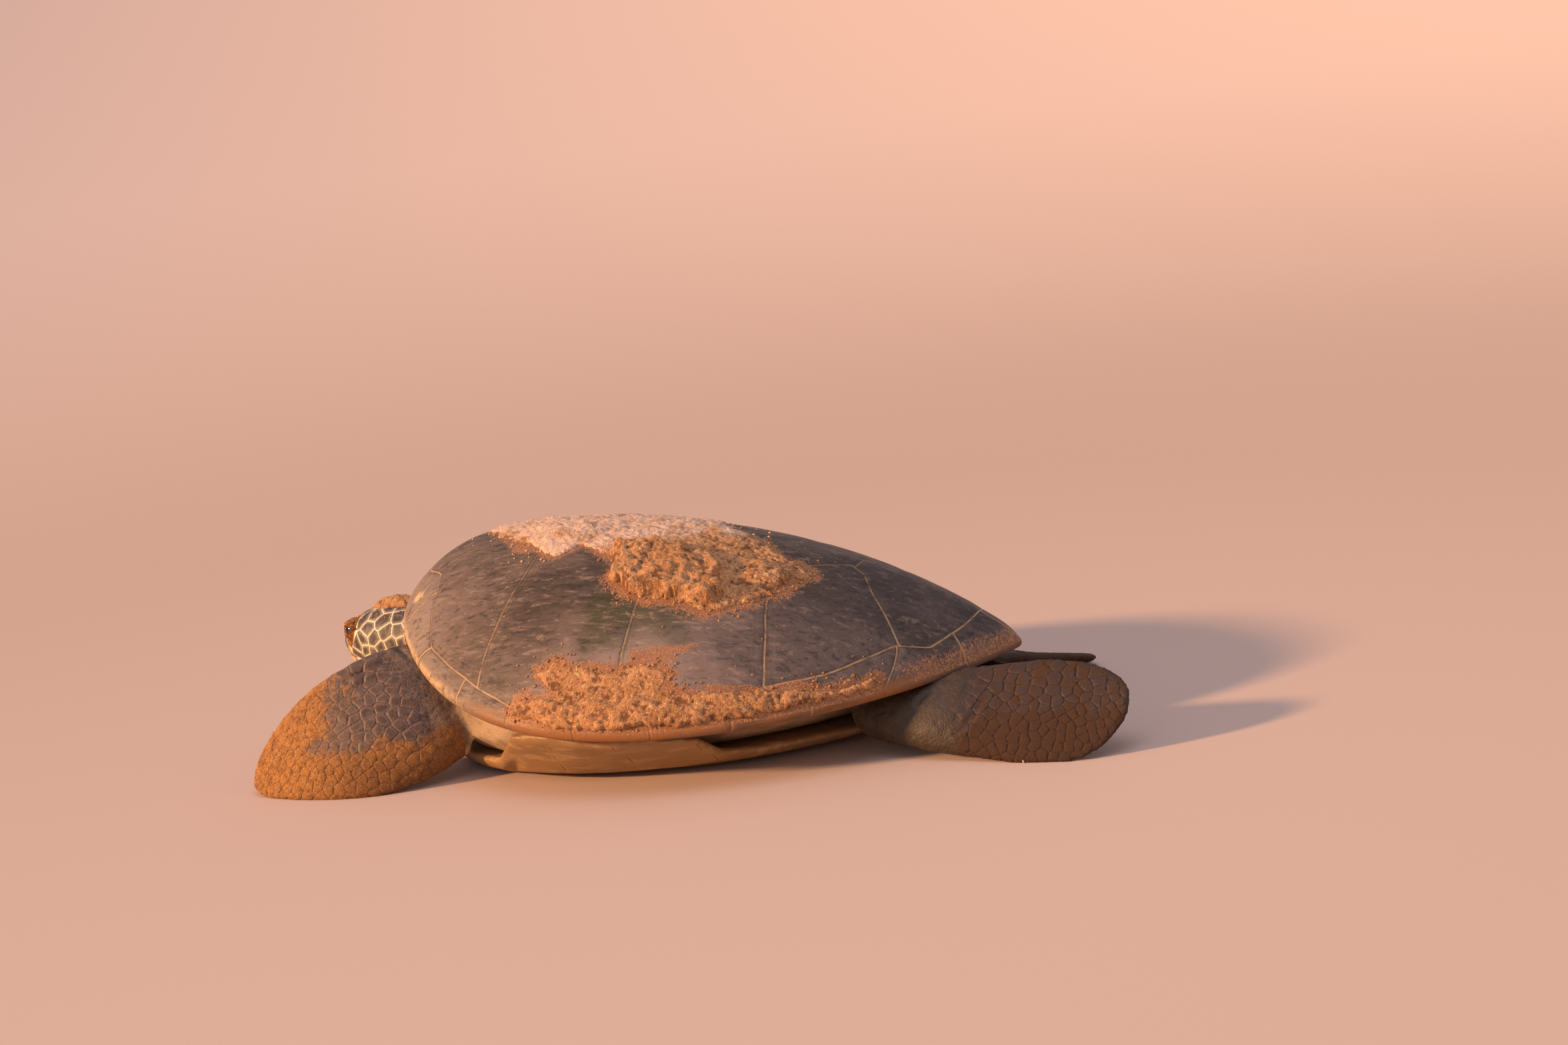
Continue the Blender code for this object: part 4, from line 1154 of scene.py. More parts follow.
# %% Film of sand
def film_of_sand(plain=1.0):
    """A film of damp sand on the skin: where it lies, its colour, darker behind with painted shade, and its
    relief.
    """
    grain = add(tree, "TexVoronoi", {"Vector": spot, "Scale": 900.0})
    grain_tint = add(tree, "SeparateColor", {0: grain["Color"]})[0]
    _, lengthways, height_up = add(tree, "SeparateXYZ", {"Vector": spot})
    # The hind parts, which get painted shade.
    hind = ramp(lengthways, 0.20, 0.40)
    uneven = add(tree, "Math", {0: cloud(300, 4, 0.75, seed=37), 1: -0.5})[0]
    where = add(tree, "Math", {0: attribute("sandy"), 1: cloud(55, 5, 0.72, seed=33)})[0]
    mask = ramp(add(tree, "Math", {0: where, 1: times(uneven, 0.9)})[0], 0.76, 1.06)
    colour = lay((
        (plain, ramp(grain_tint, 0.35, 0.80), 0.45, "#B48452"),
        (ramp(cloud(60, 3, 0.6, seed=12), 0.45, 0.70), 0.8, "#78502E"),
        (ramp(cloud(160, 4, 0.7, seed=8), 0.50, 0.62), 0.6, "#6E4526"),
        (plain, ramp(grain_tint, 0.90, 0.93), 0.40, "#CDB08A"),
        (plain, ramp(grain_tint, 0.10, 0.06), 0.6, "#4E3424"),
        (attribute("face"), ramp(cloud(130, 4, 0.7, seed=23), 0.44, 0.60), "#54331D"),
        (ramp(height_up, 0.11, 0.02), ramp(lengthways, -0.50, -0.38), 0.6, "#5A3A20"),
        # Painted shade on the sand of the hind parts.
        (hind, 0.92, "#37251C"),
    ), "#9C6A33")
    relief = add(tree, "Math", {0: times(grain["Distance"], -1.2), 1: cloud(420, 4, 0.7, seed=7)})[0]
    return mask, colour, relief


# %% Skin finish
skin_finish, tree, shader, spot = new_finish("dry_turtle_hide", 0.6, 1.45)
net = {"Vector": spot, "Scale": 165.0, "Randomness": 0.9}
cells = add(tree, "TexVoronoi", net, feature="DISTANCE_TO_EDGE")[0]
cell_tint = add(tree, "SeparateColor", {0: add(tree, "TexVoronoi", net)["Color"]})[0]
# The hind parts, darkened below as painted shade from the shell and the sand over them.
hind_shade = ramp(add(tree, "SeparateXYZ", {"Vector": spot})[1], 0.20, 0.34)
is_pale, crease_shade, is_face = (attribute(n) for n in ("pale", "crease", "face"))
blotch = cloud(24, 4, 0.6, seed=5)
fine = cloud(520, 3, 0.7, seed=9)
hide_colour = lay((
    (ramp(cell_tint, 0.2, 0.9), 0.30, "#382A23"),
    (ramp(blotch, 0.50, 0.68), 0.45, "#7A655C"),
    (ramp(cells, 0.10, 0.03), 0.35, "#8C7668"),
    (is_pale, ramp(blotch, 0.15, 0.55), "#CDB492"),
    (is_pale, ramp(blotch, 0.58, 0.75), 0.35, "#8A6F5A"),
    # Painted shade over the hind parts, with the net of scales a little lighter inside it.
    (hind_shade, 0.95, "#20160E"),
    (hind_shade, ramp(cells, 0.10, 0.02), 0.4, "#54401F"),
    (is_face, "#DCD3B4"),
    # Painted shade in the creases.
    (crease_shade, 0.45, "#3A2C26"),
), "#47352B")
plain = add(tree, "Math", {0: 1.0, 1: times(is_face, 0.85)}, operation="SUBTRACT")[0]
sand_mask, sand_colour, sand_relief = film_of_sand(plain)
skin_colour = add(tree, "Mix", {0: sand_mask, 6: hide_colour, 7: sand_colour}, data_type="RGBA")[2]
tree.links.new(add(tree, "MapRange", {0: sand_mask, 3: 0.55, 4: 0.92})[0], shader.inputs["Roughness"])
hide_relief = add(tree, "Math", {0: times(ramp(cells, 0.0, 0.16), 0.35), 1: times(fine, 0.4)})[0]
height = add(tree, "Mix", {0: sand_mask, 2: hide_relief, 3: sand_relief})[0]
cover(skin_colour, height, 0.6)
new_piece("skin", skin_bm.copy(), skin_finish, FLESH)

# %% [markdown]
# ## Plates of scale
# The scales on the head and flippers are thin horny plates with soft hide
# between them. Each grows from a point, and meets its neighbours half way, so
# each plate here starts as a copy of the skin round its point, and
# `bisect_plane` trims it by one plane for each neighbour, half way and half a
# gap short. Extruding the trimmed sheet makes it a closed plate, with a low
# edge and a raised middle. That gives true many-sided outlines, on any curve.

# %% Plate maker
SEAM_GAP, PLATE_RISE, PLATE_SINK = 0.0021, 0.0008, 0.0009
# A plate's border starts at a share of its rise, and reaches the rest over a width.
EDGE_RISE, EDGE_WIDTH = 0.25, 0.0022
# Neighbours are looked for within this many sizes; a plate this near its full size isn't closed.
NEIGHBOURS, UNCUT = 1.9, 0.98
SLIVER = 0.00015          # metres: shorter edges than this are merged
GOLDEN = 0.61803          # steps by this share never fall into a pattern
PLATE_LAYERS = ("edge", "plate", "sandy")


def plates(name, seeds, planes, gap=SEAM_GAP, rise=PLATE_RISE, size=0.034, ghosts=(), bend=0.15):
    """Closed plates on the skin, one to a seed; planes(seed) gives more (point, normal) cuts.

    Ghosts are seeds that trim their neighbours, and make no plate of their own. Bend is how far
    the skin may turn from the way it faces at the seed: 1 not at all, -1 right round."""
    every = list(seeds) + list(ghosts)
    near_seeds = KDTree(len(every))
    for i, seed in enumerate(every):
        near_seeds.insert(seed, i)
    near_seeds.balance()
    faces = [face for face in skin_bm.faces if face.calc_area() > 1e-9]
    near_faces = KDTree(len(faces))
    for i, face in enumerate(faces):
        near_faces.insert(face.calc_center_median(), i)
    near_faces.balance()
    whole, skin_sandy = bmesh.new(), skin_bm.verts.layers.float["sandy"]
    for layer_name in PLATE_LAYERS:
        whole.verts.layers.float.new(layer_name)
    dropped = []
    for number, seed in enumerate(seeds):
        hits = near_faces.find_range(seed, size)
        if not hits:
            continue
        out = faces[min(hits, key=lambda hit: hit[2])[1]].normal
        cuts = list(planes(seed))
        for beside, _, far in near_seeds.find_range(seed, size * NEIGHBOURS):
            if far > 1e-5:
                way = (beside - seed).normalized()
                cuts.append(((beside + seed) / 2 - way * gap / 2, way))
        cuts.sort(key=lambda cut: abs((cut[0] - seed).dot(cut[1])))
        sheet, known = bmesh.new(), {}
        for layer_name in PLATE_LAYERS:
            sheet.verts.layers.float.new(layer_name)
        edge, tint, dusty = (sheet.verts.layers.float[n] for n in PLATE_LAYERS)
        for _, i, _ in hits:
            if faces[i].normal.dot(out) > bend:
                for vert in faces[i].verts:
                    if vert not in known:
                        known[vert] = sheet.verts.new(vert.co)
                        known[vert][dusty] = vert[skin_sandy]
                sheet.faces.new([known[vert] for vert in faces[i].verts])
        for point, way in cuts:
            bmesh.ops.bisect_plane(sheet, geom=[*sheet.verts, *sheet.edges, *sheet.faces], dist=1e-5,
                                   plane_co=point, plane_no=way, clear_outer=True)
        if len(sheet.faces) < 4 or any((vert.co - seed).length > size * UNCUT for vert in sheet.verts):
            dropped.append(number)
            sheet.free()
            continue
        bmesh.ops.remove_doubles(sheet, verts=sheet.verts, dist=SLIVER)
        sheet.normal_update()
        for vert in sheet.verts:
            vert[edge] = max(0.0, min((point - vert.co).dot(way) for point, way in cuts))
            vert[tint] = number * GOLDEN % 1.0
        ways = {tuple(vert.co): vert.normal.copy() for vert in sheet.verts}
        grown = bmesh.ops.extrude_face_region(sheet, geom=sheet.faces[:], use_keep_orig=True)
        tops = {part for part in grown["geom"] if isinstance(part, bmesh.types.BMVert)}
        for vert in sheet.verts:
            high = rise * (EDGE_RISE + (1 - EDGE_RISE) * float(smooth(0.0, EDGE_WIDTH, vert[edge])))
            vert.co += ways[tuple(vert.co)] * (high if vert in tops else -PLATE_SINK)
            vert.co.z = max(vert.co.z, 0.0)
        bmesh.ops.recalc_face_normals(sheet, faces=sheet.faces)
        if sheet.calc_volume(signed=True) < 0:
            bmesh.ops.reverse_faces(sheet, faces=sheet.faces)
        part = bpy.data.meshes.new("part")
        sheet.to_mesh(part)
        sheet.free()
        whole.from_mesh(part)
        bpy.data.meshes.remove(part)
    print(name, "plates:", len(seeds) - len(dropped), "of", len(seeds))
    return whole


# %% Head plates
# Distance along the muzzle, and degrees down from the crown, on the left side.
HEAD_SCALES = (
    (.145, 15), (.115, 35), (.095, 50), (.070, 45), (.055, 25), (.045, 60), (.015, 50),
    (.075, 70), (.035, 75), (.010, 75), (-.005, 60), (.085, 85), (.060, 85), (.050, 100),
    (.025, 95), (.005, 95), (.100, 95), (.105, 110), (.085, 100), (.065, 105), (.080, 115),
    (.045, 110), (.025, 110), (.060, 120), (.035, 120), (.005, 110), (.160, 45), (.150, 80),
    (.030, 15), (.005, 15), (-.015, 90), (.015, 125),
)
CROWN_SCALES = ((.120, 0), (.086, 0), (.056, 0), (.012, 0))
surface = BVHTree.FromBMesh(skin_bm)


def on_skin(along, degrees, side=1):
    """The point of the head's skin at a place along the muzzle and an angle from its crown."""
    lean = radians(degrees)
    way = HEAD_LEFT * side * sin(lean) + HEAD_UP * cos(lean)
    start = in_head(along, 0, 0) + way * 0.12
    return surface.ray_cast(start, -way)[0]


def head_planes(seed):
    """The cuts that keep a plate clear of the lids, the mouth and the beak."""
    cuts = []
    forward, left, above = head_frame([seed])[0]
    for centre, radius, gaze, side, word in EYES:
        away = seed - centre
        if away.length < 0.055 and left * side > 0:
            way = -(away - gaze * away.dot(gaze)).normalized()
            cuts.append((centre - way * (radius + 0.0052), way))
    if above > -0.029:
        cuts.append((in_head(.098, 0, -.0278), (-HEAD_UP + HEAD_FORWARD * 0.16).normalized()))
        if forward > 0.09:
            slope = (HEAD_UP * 0.084 - HEAD_FORWARD * 0.031).normalized()
            cuts.append((in_head(.116, 0, -.0235), -slope))
    return cuts


seeds = [on_skin(along, degrees, side) for along, degrees in HEAD_SCALES for side in (1, -1)]
seeds += [on_skin(along, degrees) for along, degrees in CROWN_SCALES]
seeds = [seed for seed in seeds if seed]
ghosts = [on_skin(-.030, degrees, side) for degrees in (0, 30, 60, 90, 120) for side in (1, -1)]
ghosts = [ghost for ghost in ghosts if ghost]
head_plates_bm = plates("head", seeds, head_planes, size=0.046, ghosts=ghosts)

# %% [markdown]
# ## Flipper scales
# The flippers carry the same horny scales, larger along the leading edge and
# smaller towards the back. Their points are scattered at random, and each new
# one keeps its distance from all the others. Where sand covers the skin there
# are none to see.

# %% Flipper scales
SCALE_SIZE, SCALE_MORE = 0.0135, 0.0085  # across, and how much more on the leading edge
rng = np.random.default_rng(7)
limb_plates = {}
skin_bm.normal_update()
points = places(skin_bm)
crease_at = np.array([vert[skin_bm.verts.layers.float["crease"]] for vert in skin_bm.verts])
limbs = limb_masks(points, under_shell(points))
for (kind, side), (out, back, there) in limbs.items():
    first = 2.0 if kind == "front" else 2.6
    wanted = np.flatnonzero(there & (out > first) & (out < 7.9) & (crease_at < 0.5))
    rng.shuffle(wanted)
    chosen, spaces = [], []
    for i in wanted:
        edge_share = min(1.0, abs(back[i] - 0.5) * 2)
        space = SCALE_SIZE if back[i] > 0.5 else SCALE_SIZE + SCALE_MORE * edge_share ** 2
        space *= 1.1 - 0.04 * out[i]
        if not chosen or (np.linalg.norm(points[chosen] - points[i], axis=1)
                          > (space + np.array(spaces)) / 2).all():
            chosen.append(i)
            spaces.append(space)
    seeds = [Vector(points[i]) for i in chosen]
    word = f"{kind}_flipper_{'left' if side > 0 else 'right'}"
    limb_plates[word] = plates(word, seeds, lambda seed: (), gap=0.0009, rise=0.0004,
                               size=0.020, bend=0.35)

# %% [markdown]
# ## The finish of the scales: dark keratin, paler where it is thin
# Each scale is dark in its middle and lighter to its border, where the horn is
# thinner and the cream hide below shows through.

# %% Scale finishes
plate_finishes = {}
for word, dark, middle, light, depth in (
        ("head_scale_horn", "#352F30", "#5A504A", "#9A8E7C", 0.0040),
        ("flipper_scale_horn", "#43352F", "#5C4A43", "#6B5850", 0.0030)):
    finish, tree, shader, spot = new_finish(word, 0.6, 1.54, Specular_IOR_Level=0.3)
    edge_far, tint = attribute("edge"), attribute("plate")
    # The hind parts, where the scales are darkened with painted shade.
    behind = ramp(add(tree, "SeparateXYZ", {"Vector": spot})[1], 0.20, 0.40)
    ragged = times(add(tree, "Math", {0: cloud(240, 3, 0.6), 1: -0.5})[0], 0.0045)
    wander = add(tree, "Math", {0: edge_far, 1: ragged})[0]
    shade = add(tree, "MapRange", {0: tint, 3: 0.35, 4: 1.0})[0]
    colour = lay((
        (ramp(wander, depth, 0.0003), light),
        (ramp(wander, 0.0030, depth * 1.5), shade, dark),
        (ramp(cloud(90, 4, 0.6, seed=6), 0.50, 0.66), 0.40, light),
        (ramp(cloud(30, 3, 0.6, seed=17), 0.48, 0.62), 0.35, dark),
        (ramp(cloud(600, 2, 0.6, seed=27), 0.62, 0.70), 0.35, "#A8927C"),
        # Painted shade on the hind flippers' scales.
        (behind, 0.85, "#30211A"),
    ), middle)
    sand_mask, sand_colour, sand_relief = film_of_sand()
    colour = add(tree, "Mix", {0: sand_mask, 6: colour, 7: sand_colour}, data_type="RGBA")[2]
    tree.links.new(add(tree, "MapRange", {0: sand_mask, 3: 0.55, 4: 0.92})[0], shader.inputs["Roughness"])
    rub = add(tree, "Math", {0: cloud(330, 4, 0.65, seed=3), 1: times(cloud(1100, 2), 0.3)})[0]
    height = add(tree, "Mix", {0: sand_mask, 2: times(rub, 0.6), 3: sand_relief})[0]
    cover(colour, height, 0.5)
    plate_finishes[word] = finish
new_piece("head_plates", head_plates_bm, plate_finishes["head_scale_horn"])
for word, bm in limb_plates.items():
    new_piece(f"{word}_scales", bm, plate_finishes["flipper_scale_horn"])

# %% [markdown]
# ## The beak
# A turtle has no teeth: horn sheathes its jaws. Each sheath here is one large
# plate, cut from the skin of the snout by the planes that bound it, and its
# lower edge stops just short of the line of the mouth.

# %% Beak sheaths
def head_plane(place, way):
    """A cutting plane in the head's frame, from (along, above) pairs; it clears the way's side."""
    point, way = in_head(place[0], 0, place[1]), HEAD_FORWARD * way[0] + HEAD_UP * way[1]
    return point, way.normalized()


UPPER_BEAK = (head_plane((.116, -.0250), (-.031, .084)), head_plane((.118, -.0300), (-1, 0)),
              head_plane((.150, -.0200), (.145, -1)))
LOWER_BEAK = (head_plane((.150, -.0215), (-.145, 1)), head_plane((.126, -.0200), (-.080, -.034)))
beak_finish, tree, shader, spot = new_finish("beak_horn", 0.45, 1.54)
beak_colour = lay((
    (ramp(cloud(40, 4, 0.6, seed=2), 0.45, 0.65), 0.6, "#A98A60"),
    (ramp(cloud(150, 3, 0.6, (1, 1, 0.25), seed=9), 0.50, 0.62), 0.6, "#6B543C"),
    (ramp(attribute("edge"), 0.0030, 0.0004), "#7C6346"),
    (ramp(cloud(500, 2, 0.6, seed=4), 0.60, 0.70), 0.4, "#D8C4A2"),
), "#C9AE84")
cover(beak_colour, cloud(260, 4, 0.6, (1, 1, 0.3), seed=5))
for word, height, cuts in (("beak_upper", -.0105, UPPER_BEAK), ("beak_lower", -.0300, LOWER_BEAK)):
    seed = surface.ray_cast(in_head(0.30, 0, height), -HEAD_FORWARD)[0]
    sheath = plates(word, [seed], lambda seed, cuts=cuts: cuts, gap=0, rise=0.0011, size=0.095, bend=-0.9)
    new_piece(f"{word}_sheath", sheath, beak_finish, [word])

# %% [markdown]
# ## Eyes
# The eyeball is a sphere on the solid's own centre, a little fuller where the
# cornea stands out. A turtle's eye is nearly black, with a dark brown iris; it
# is the wettest thing on the animal, so it gives a small, sharp highlight.

# %% Eyes
eye_finish, tree, shader, spot = new_finish("wet_eye", 0.07, 1.38, Coat_Weight=0.6)
iris = attribute("iris")
eye_colour = lay((
    (ramp(iris, 0.0108, 0.0100), "#3A2416"),
    (ramp(iris, 0.0108, 0.0100), ramp(cloud(700, 3, 0.7), 0.45, 0.60), "#5A3B22"),
    (ramp(iris, 0.0062, 0.0056), "#050404"),
), "#1A120D")
cover(eye_colour)
for centre, radius, gaze, side, word in EYES:
    bm = bmesh.new()
    iris_layer = bm.verts.layers.float.new("iris")
    bmesh.ops.create_uvsphere(bm, u_segments=96, v_segments=64, radius=radius - 0.0004)
    turn = Vector((0, 0, 1)).rotation_difference(gaze).to_matrix()
    for vert in bm.verts:
        wide = vert.co.xy.length
        vert[iris_layer] = wide if vert.co.z > 0 else 1.0
        if vert.co.z > 0:
            vert.co.z += 0.0006 * float(smooth(0.0105, 0.0, wide))
        vert.co = centre + turn @ vert.co
    new_piece(f"eyeball_{word}", bm, eye_finish, [f"eye_{word}"])

# %% [markdown]
# ## Claws
# One claw on each flipper. A claw is a cone of horn that bends. A grid is rolled
# up: its columns go round the claw and its rows along it, smaller step by step
# and along an arc. `remove_doubles` welds the seam and the tip, and `holes_fill`
# closes the root, which sits in the skin.

# %% Claws
CLAWS = (("front_claw_left", (.2925, -.5640, .0940), (-.33, -.77, .54)),
         ("front_claw_right", (-.2925, -.5640, .0940), (.33, -.77, .54)),
         ("hind_claw_left", (.2125, .5450, .0098), (.60, .30, -.40)),
         ("hind_claw_right", (-.332, .4083, .0048), (-.75, -.55, -.10)))
CLAW_SEAT, CLAW_LENGTH, CLAW_ROOT, CLAW_RADIUS = 0.0042, 0.024, 0.012, 0.0058
CLAW_BEND, CLAW_FLAT, CLAW_ROWS, CLAW_SIDES = 0.0040, 0.85, 19, 32
claw_finish, tree, shader, spot = new_finish("claw_horn", 0.4, 1.54)
claw_colour = lay((
    (ramp(attribute("tip"), 0.30, 1.0), "#B99C73"),
    (ramp(cloud(300, 4, 0.6), 0.45, 0.60), 0.6, "#2E2420"),
    (ramp(cloud(900, 2, 0.6, seed=3), 0.60, 0.68), 0.5, "#A06A40"),
), "#57443A")
cover(claw_colour, cloud(500, 3, 0.6), depth=0.0006)
for word, place, heading in CLAWS:
    heading = Vector(heading).normalized()
    found, way = surface.ray_cast(Vector(place) + heading * 0.03, -heading, 0.08)[:2]
    if not found:
        found, way = surface.find_nearest(Vector(place))[:2]
    place = found - way * CLAW_SEAT
    aside = heading.cross(Vector((0, 0, 1))).normalized()
    over = aside.cross(heading)
    bm = bmesh.new()
    bmesh.ops.create_grid(bm, x_segments=CLAW_SIDES, y_segments=CLAW_ROWS, size=1.0)
    tip_layer = bm.verts.layers.float.new("tip")
    for vert in bm.verts:
        turned = 2 * pi * (round((vert.co.x + 1) / 2 * CLAW_SIDES) % CLAW_SIDES) / CLAW_SIDES
        t = round((vert.co.y + 1) / 2 * CLAW_ROWS) / CLAW_ROWS
        wide = CLAW_RADIUS * (1 - t) ** 0.66 * (1 + 0.05 * sin(9 * t))
        middle = place + heading * (CLAW_LENGTH * t - CLAW_ROOT) - over * CLAW_BEND * t * t
        vert.co = middle + (aside * cos(turned) + over * CLAW_FLAT * sin(turned)) * wide
        vert.co.z = max(vert.co.z, 0.0003)
        vert[tip_layer] = t
    bmesh.ops.remove_doubles(bm, verts=bm.verts, dist=1e-6)
    bmesh.ops.holes_fill(bm, edges=[edge for edge in bm.edges if edge.is_boundary])
    bmesh.ops.recalc_face_normals(bm, faces=bm.faces)
    new_piece(f"{word}_horn", bm, claw_finish, [word])

# %% [markdown]
# ## The plastron
# The lower shell is flat, cream-yellow horn, in pairs of plates on each side of
# a middle seam, with a row of small ones along its edges. The solid is melted to
# an even mesh and its seams are cut and sunk in the same way as the shell's.

# %% Plastron
UNDER_VOXEL, UNDER_GROOVE, UNDER_INSET = 0.0042, 0.0008, 0.0003
under_object = bpy.data.objects.new("under", NODES["plastron"].data.copy())
bpy.context.collection.objects.link(under_object)
under_object.modifiers.new("Melt", "REMESH").mode = "VOXEL"
under_object.modifiers["Melt"].voxel_size = UNDER_VOXEL
under_object.modifiers.new("Calm", "SMOOTH").iterations = 4
plastron_bm = applied(under_object)
UNDER_LAYERS = ("pair", "half", "rim", "seam")
for name in UNDER_LAYERS:
    plastron_bm.verts.layers.float.new(name)
pair, half, rim, under_seam = (plastron_bm.verts.layers.float[name] for name in UNDER_LAYERS)
PAIR_SEAMS = (-.325, -.215, -.105, .005, .110, .215)
for vert in plastron_bm.verts:
    x, y = vert.co.x + 0.0015 * noise.noise(vert.co * 30), vert.co.y
    gaps = [y - at - 0.012 * sin(9 * abs(x)) for at in PAIR_SEAMS]
    near = min(gaps, key=abs)
    vert[pair] = near * (-1) ** sum(gap > 0 for gap in gaps)
    vert[half] = x
    vert[rim] = abs(x) - 0.150 + 0.30 * max(0.0, abs(y + 0.05) - 0.10)


def underside(face):
    return face.normal.z < -0.35


plastron_bm.normal_update()
for layer in (rim, half, pair):
    for level in (0.0, SEAM_HALF, -SEAM_HALF):
        cut_at(plastron_bm, layer, level, underside)
plastron_bm.normal_update()
for vert in plastron_bm.verts:
    far = min(abs(vert[pair]), abs(vert[rim]), abs(vert[half]) if vert[rim] < 0 else 1.0)
    below = float(smooth(-0.35, -0.6, vert.normal.z))
    vert[under_seam] = far * below + 0.02 * (1 - below)
    vert.co -= vert.normal * (UNDER_GROOVE * below * max(0.0, 1 - far / SEAM_HALF) + UNDER_INSET)
plastron_finish, tree, shader, spot = new_finish("plastron_horn_with_painted_shade", 0.5, 1.54)
# The ground colour, the last value here, is a darker tan than the horn's own cream-yellow: painted shade of
# the shadow under the shell.
under_colour = lay((
    (ramp(cloud(8, 4, 0.6, (1, 0.5, 1), seed=2), 0.42, 0.62), 0.7, "#7E5F3B"),
    (ramp(cloud(60, 4, 0.6, (1, 0.3, 1), seed=6), 0.50, 0.64), 0.5, "#B79767"),
    (ramp(attribute("seam"), 0.0060, 0.0015), 0.5, "#A67F55"),
    (ramp(attribute("seam"), 0.0016, 0.0008), "#6E5238"),
    (ramp(cloud(150, 4, 0.7, seed=12), 0.56, 0.66), 0.6, "#8C6140"),
), "#967449")
cover(under_colour, cloud(120, 5, 0.65, (1, 0.4, 1), seed=8))
new_piece("plastron_skin", plastron_bm, plastron_finish, ["plastron"])

# %% [markdown]
# ## The crust of sand
# Each crust is a fine grid laid on the shell or the head, cut along its ragged
# outline, and extruded to a closed sheet that sinks two millimetres below what
# it lies on. Its thickness rises steeply from the edge, and two sizes of round
# crumb, from Voronoi distances, break up its top.

# %% Crust maker
GRAIN_STEP, CRUST_SINK = 0.0021, 0.0020
EDGE_WOBBLE = ((40, 1.0), (110, 0.6), (300, 0.4))  # per metre, and how much of it


def crust(name, low, high, depth_at, place_at, thickness, ragged=0.008):
    """A closed crust: depth_at(u, v) says how far inside it is, place_at gives point and normal."""
    bm = bmesh.new()
    size = [max(2, int((b - a) / GRAIN_STEP)) for a, b in zip(low, high)]
    bmesh.ops.create_grid(bm, x_segments=size[0], y_segments=size[1], size=0.5)
    for layer_name in ("depth", "hollow_shade"):
        bm.verts.layers.float.new(layer_name)
    normals = bm.verts.layers.float_vector.new("way")
    depth, hollow_shade = (bm.verts.layers.float[layer_name] for layer_name in ("depth", "hollow_shade"))
    u = np.array([low[0] + (vert.co.x + 0.5) * (high[0] - low[0]) for vert in bm.verts])
    v = np.array([low[1] + (vert.co.y + 0.5) * (high[1] - low[1]) for vert in bm.verts])
    deep = depth_at(u, v)
    lost = []
    for vert, a, b, inside in zip(bm.verts, u, v, deep):
        found = place_at(a, b) if inside > -0.02 else None
        if not found or found[0] is None:
            lost.append(vert)
            continue
        vert.co, vert[normals] = found[0], found[1]
        wobble = sum(much * noise.noise(found[0] * scale) for scale, much in EDGE_WOBBLE)
        vert[depth] = inside + ragged * wobble
    bmesh.ops.delete(bm, geom=lost, context="VERTS")
    cut_at(bm, depth, 0.0, lambda face: True)
    outer = [face for face in bm.faces if mean(face, depth) < 0]
    bmesh.ops.delete(bm, geom=outer, context="FACES")
    grown = bmesh.ops.extrude_face_region(bm, geom=bm.faces[:], use_keep_orig=True)
    tops = {part for part in grown["geom"] if isinstance(part, bmesh.types.BMVert)}
    for vert in bm.verts:
        way, inside, co = vert[normals], vert[depth], vert.co.copy()
        if vert in tops:
            crumb = 0.45 * (0.55 - noise.voronoi(co * 110)[0][0])
            crumb += 0.40 * noise.noise(co * 62) + 0.25 * noise.noise(co * 170)
            small = 0.5 - noise.voronoi(co * 240)[0][0]
            shoulder = float(smooth(-0.001, 0.006, inside)) ** 0.7
            high_up = thickness(co, inside) * shoulder
            rough = shoulder * min(1.0, 0.4 + high_up / 0.008)
            high_up *= 1 + 0.40 * noise.noise(co * 28) + 0.25 * noise.noise(co * 75)
            vert.co = co + way * (high_up + rough * (0.0052 * crumb + 0.0024 * small))
            # How deep a point lies between crumbs, for painted shade in the hollows.
            vert[hollow_shade] = min(1.0, max(0.0, 0.5 - 1.3 * crumb - 0.9 * small))
        else:
            vert.co = co - way * CRUST_SINK
    bmesh.ops.recalc_face_normals(bm, faces=bm.faces)
    if bm.calc_volume(signed=True) < 0:
        bmesh.ops.reverse_faces(bm, faces=bm.faces)
    print(name, "crust:", len(bm.faces), "faces")
    return bm


# %% Lay the crusts
def on_crown(x, y):
    """The point of the shell straight below a place in plan."""
    point, way, _, _ = shell_tree.ray_cast(Vector((x, y, 1.0)), Vector((0, 0, -1)))
    return (point, way) if point else None


def on_flank(along, up, side=1):
    """The point of the dome at a way along the rim and a way up from it."""
    column = float(np.interp(along, ALONG[:COLUMNS // 2 + 1], np.arange(COLUMNS // 2 + 1)))
    near, share = int(column), column % 1
    ends = [np.array([np.interp(up, UP[CLIMB::-1, c], SHELL[CLIMB::-1, c, i]) for i in range(3)])
            for c in (near, min(near + 1, COLUMNS // 2))]
    point = Vector((ends[0] * (1 - share) + ends[1] * share) * (side, 1, 1))
    return shell_tree.find_nearest(point)[:2]


def on_far_flank(along, up):
    return on_flank(along, up, -1)


CLOD = ((.12, -.05), (.19, -.04), (.22, -.01), (.215, .12), (.19, .14), (.12, .11), (.10, .03))


def crown_thickness(co, inside):
    """Thick where the clod and the second heap lie, a few millimetres elsewhere."""
    clod = outline_depth(CLOD, np.array([co.x]), np.array([co.y]))[0] + 0.010 * noise.noise(co * 45)
    heap = sqrt((co.x - .125) ** 2 + (co.y - .178) ** 2)
    front = sqrt((co.x - .060) ** 2 + (co.y + .150) ** 2)
    return (0.0036 + 0.0022 * noise.noise(co * 14) + 0.0150 * float(smooth(-0.002, 0.012, clod))
            + 0.0060 * float(smooth(0.045, 0.015, heap)) + 0.0035 * float(smooth(0.070, 0.020, front)))


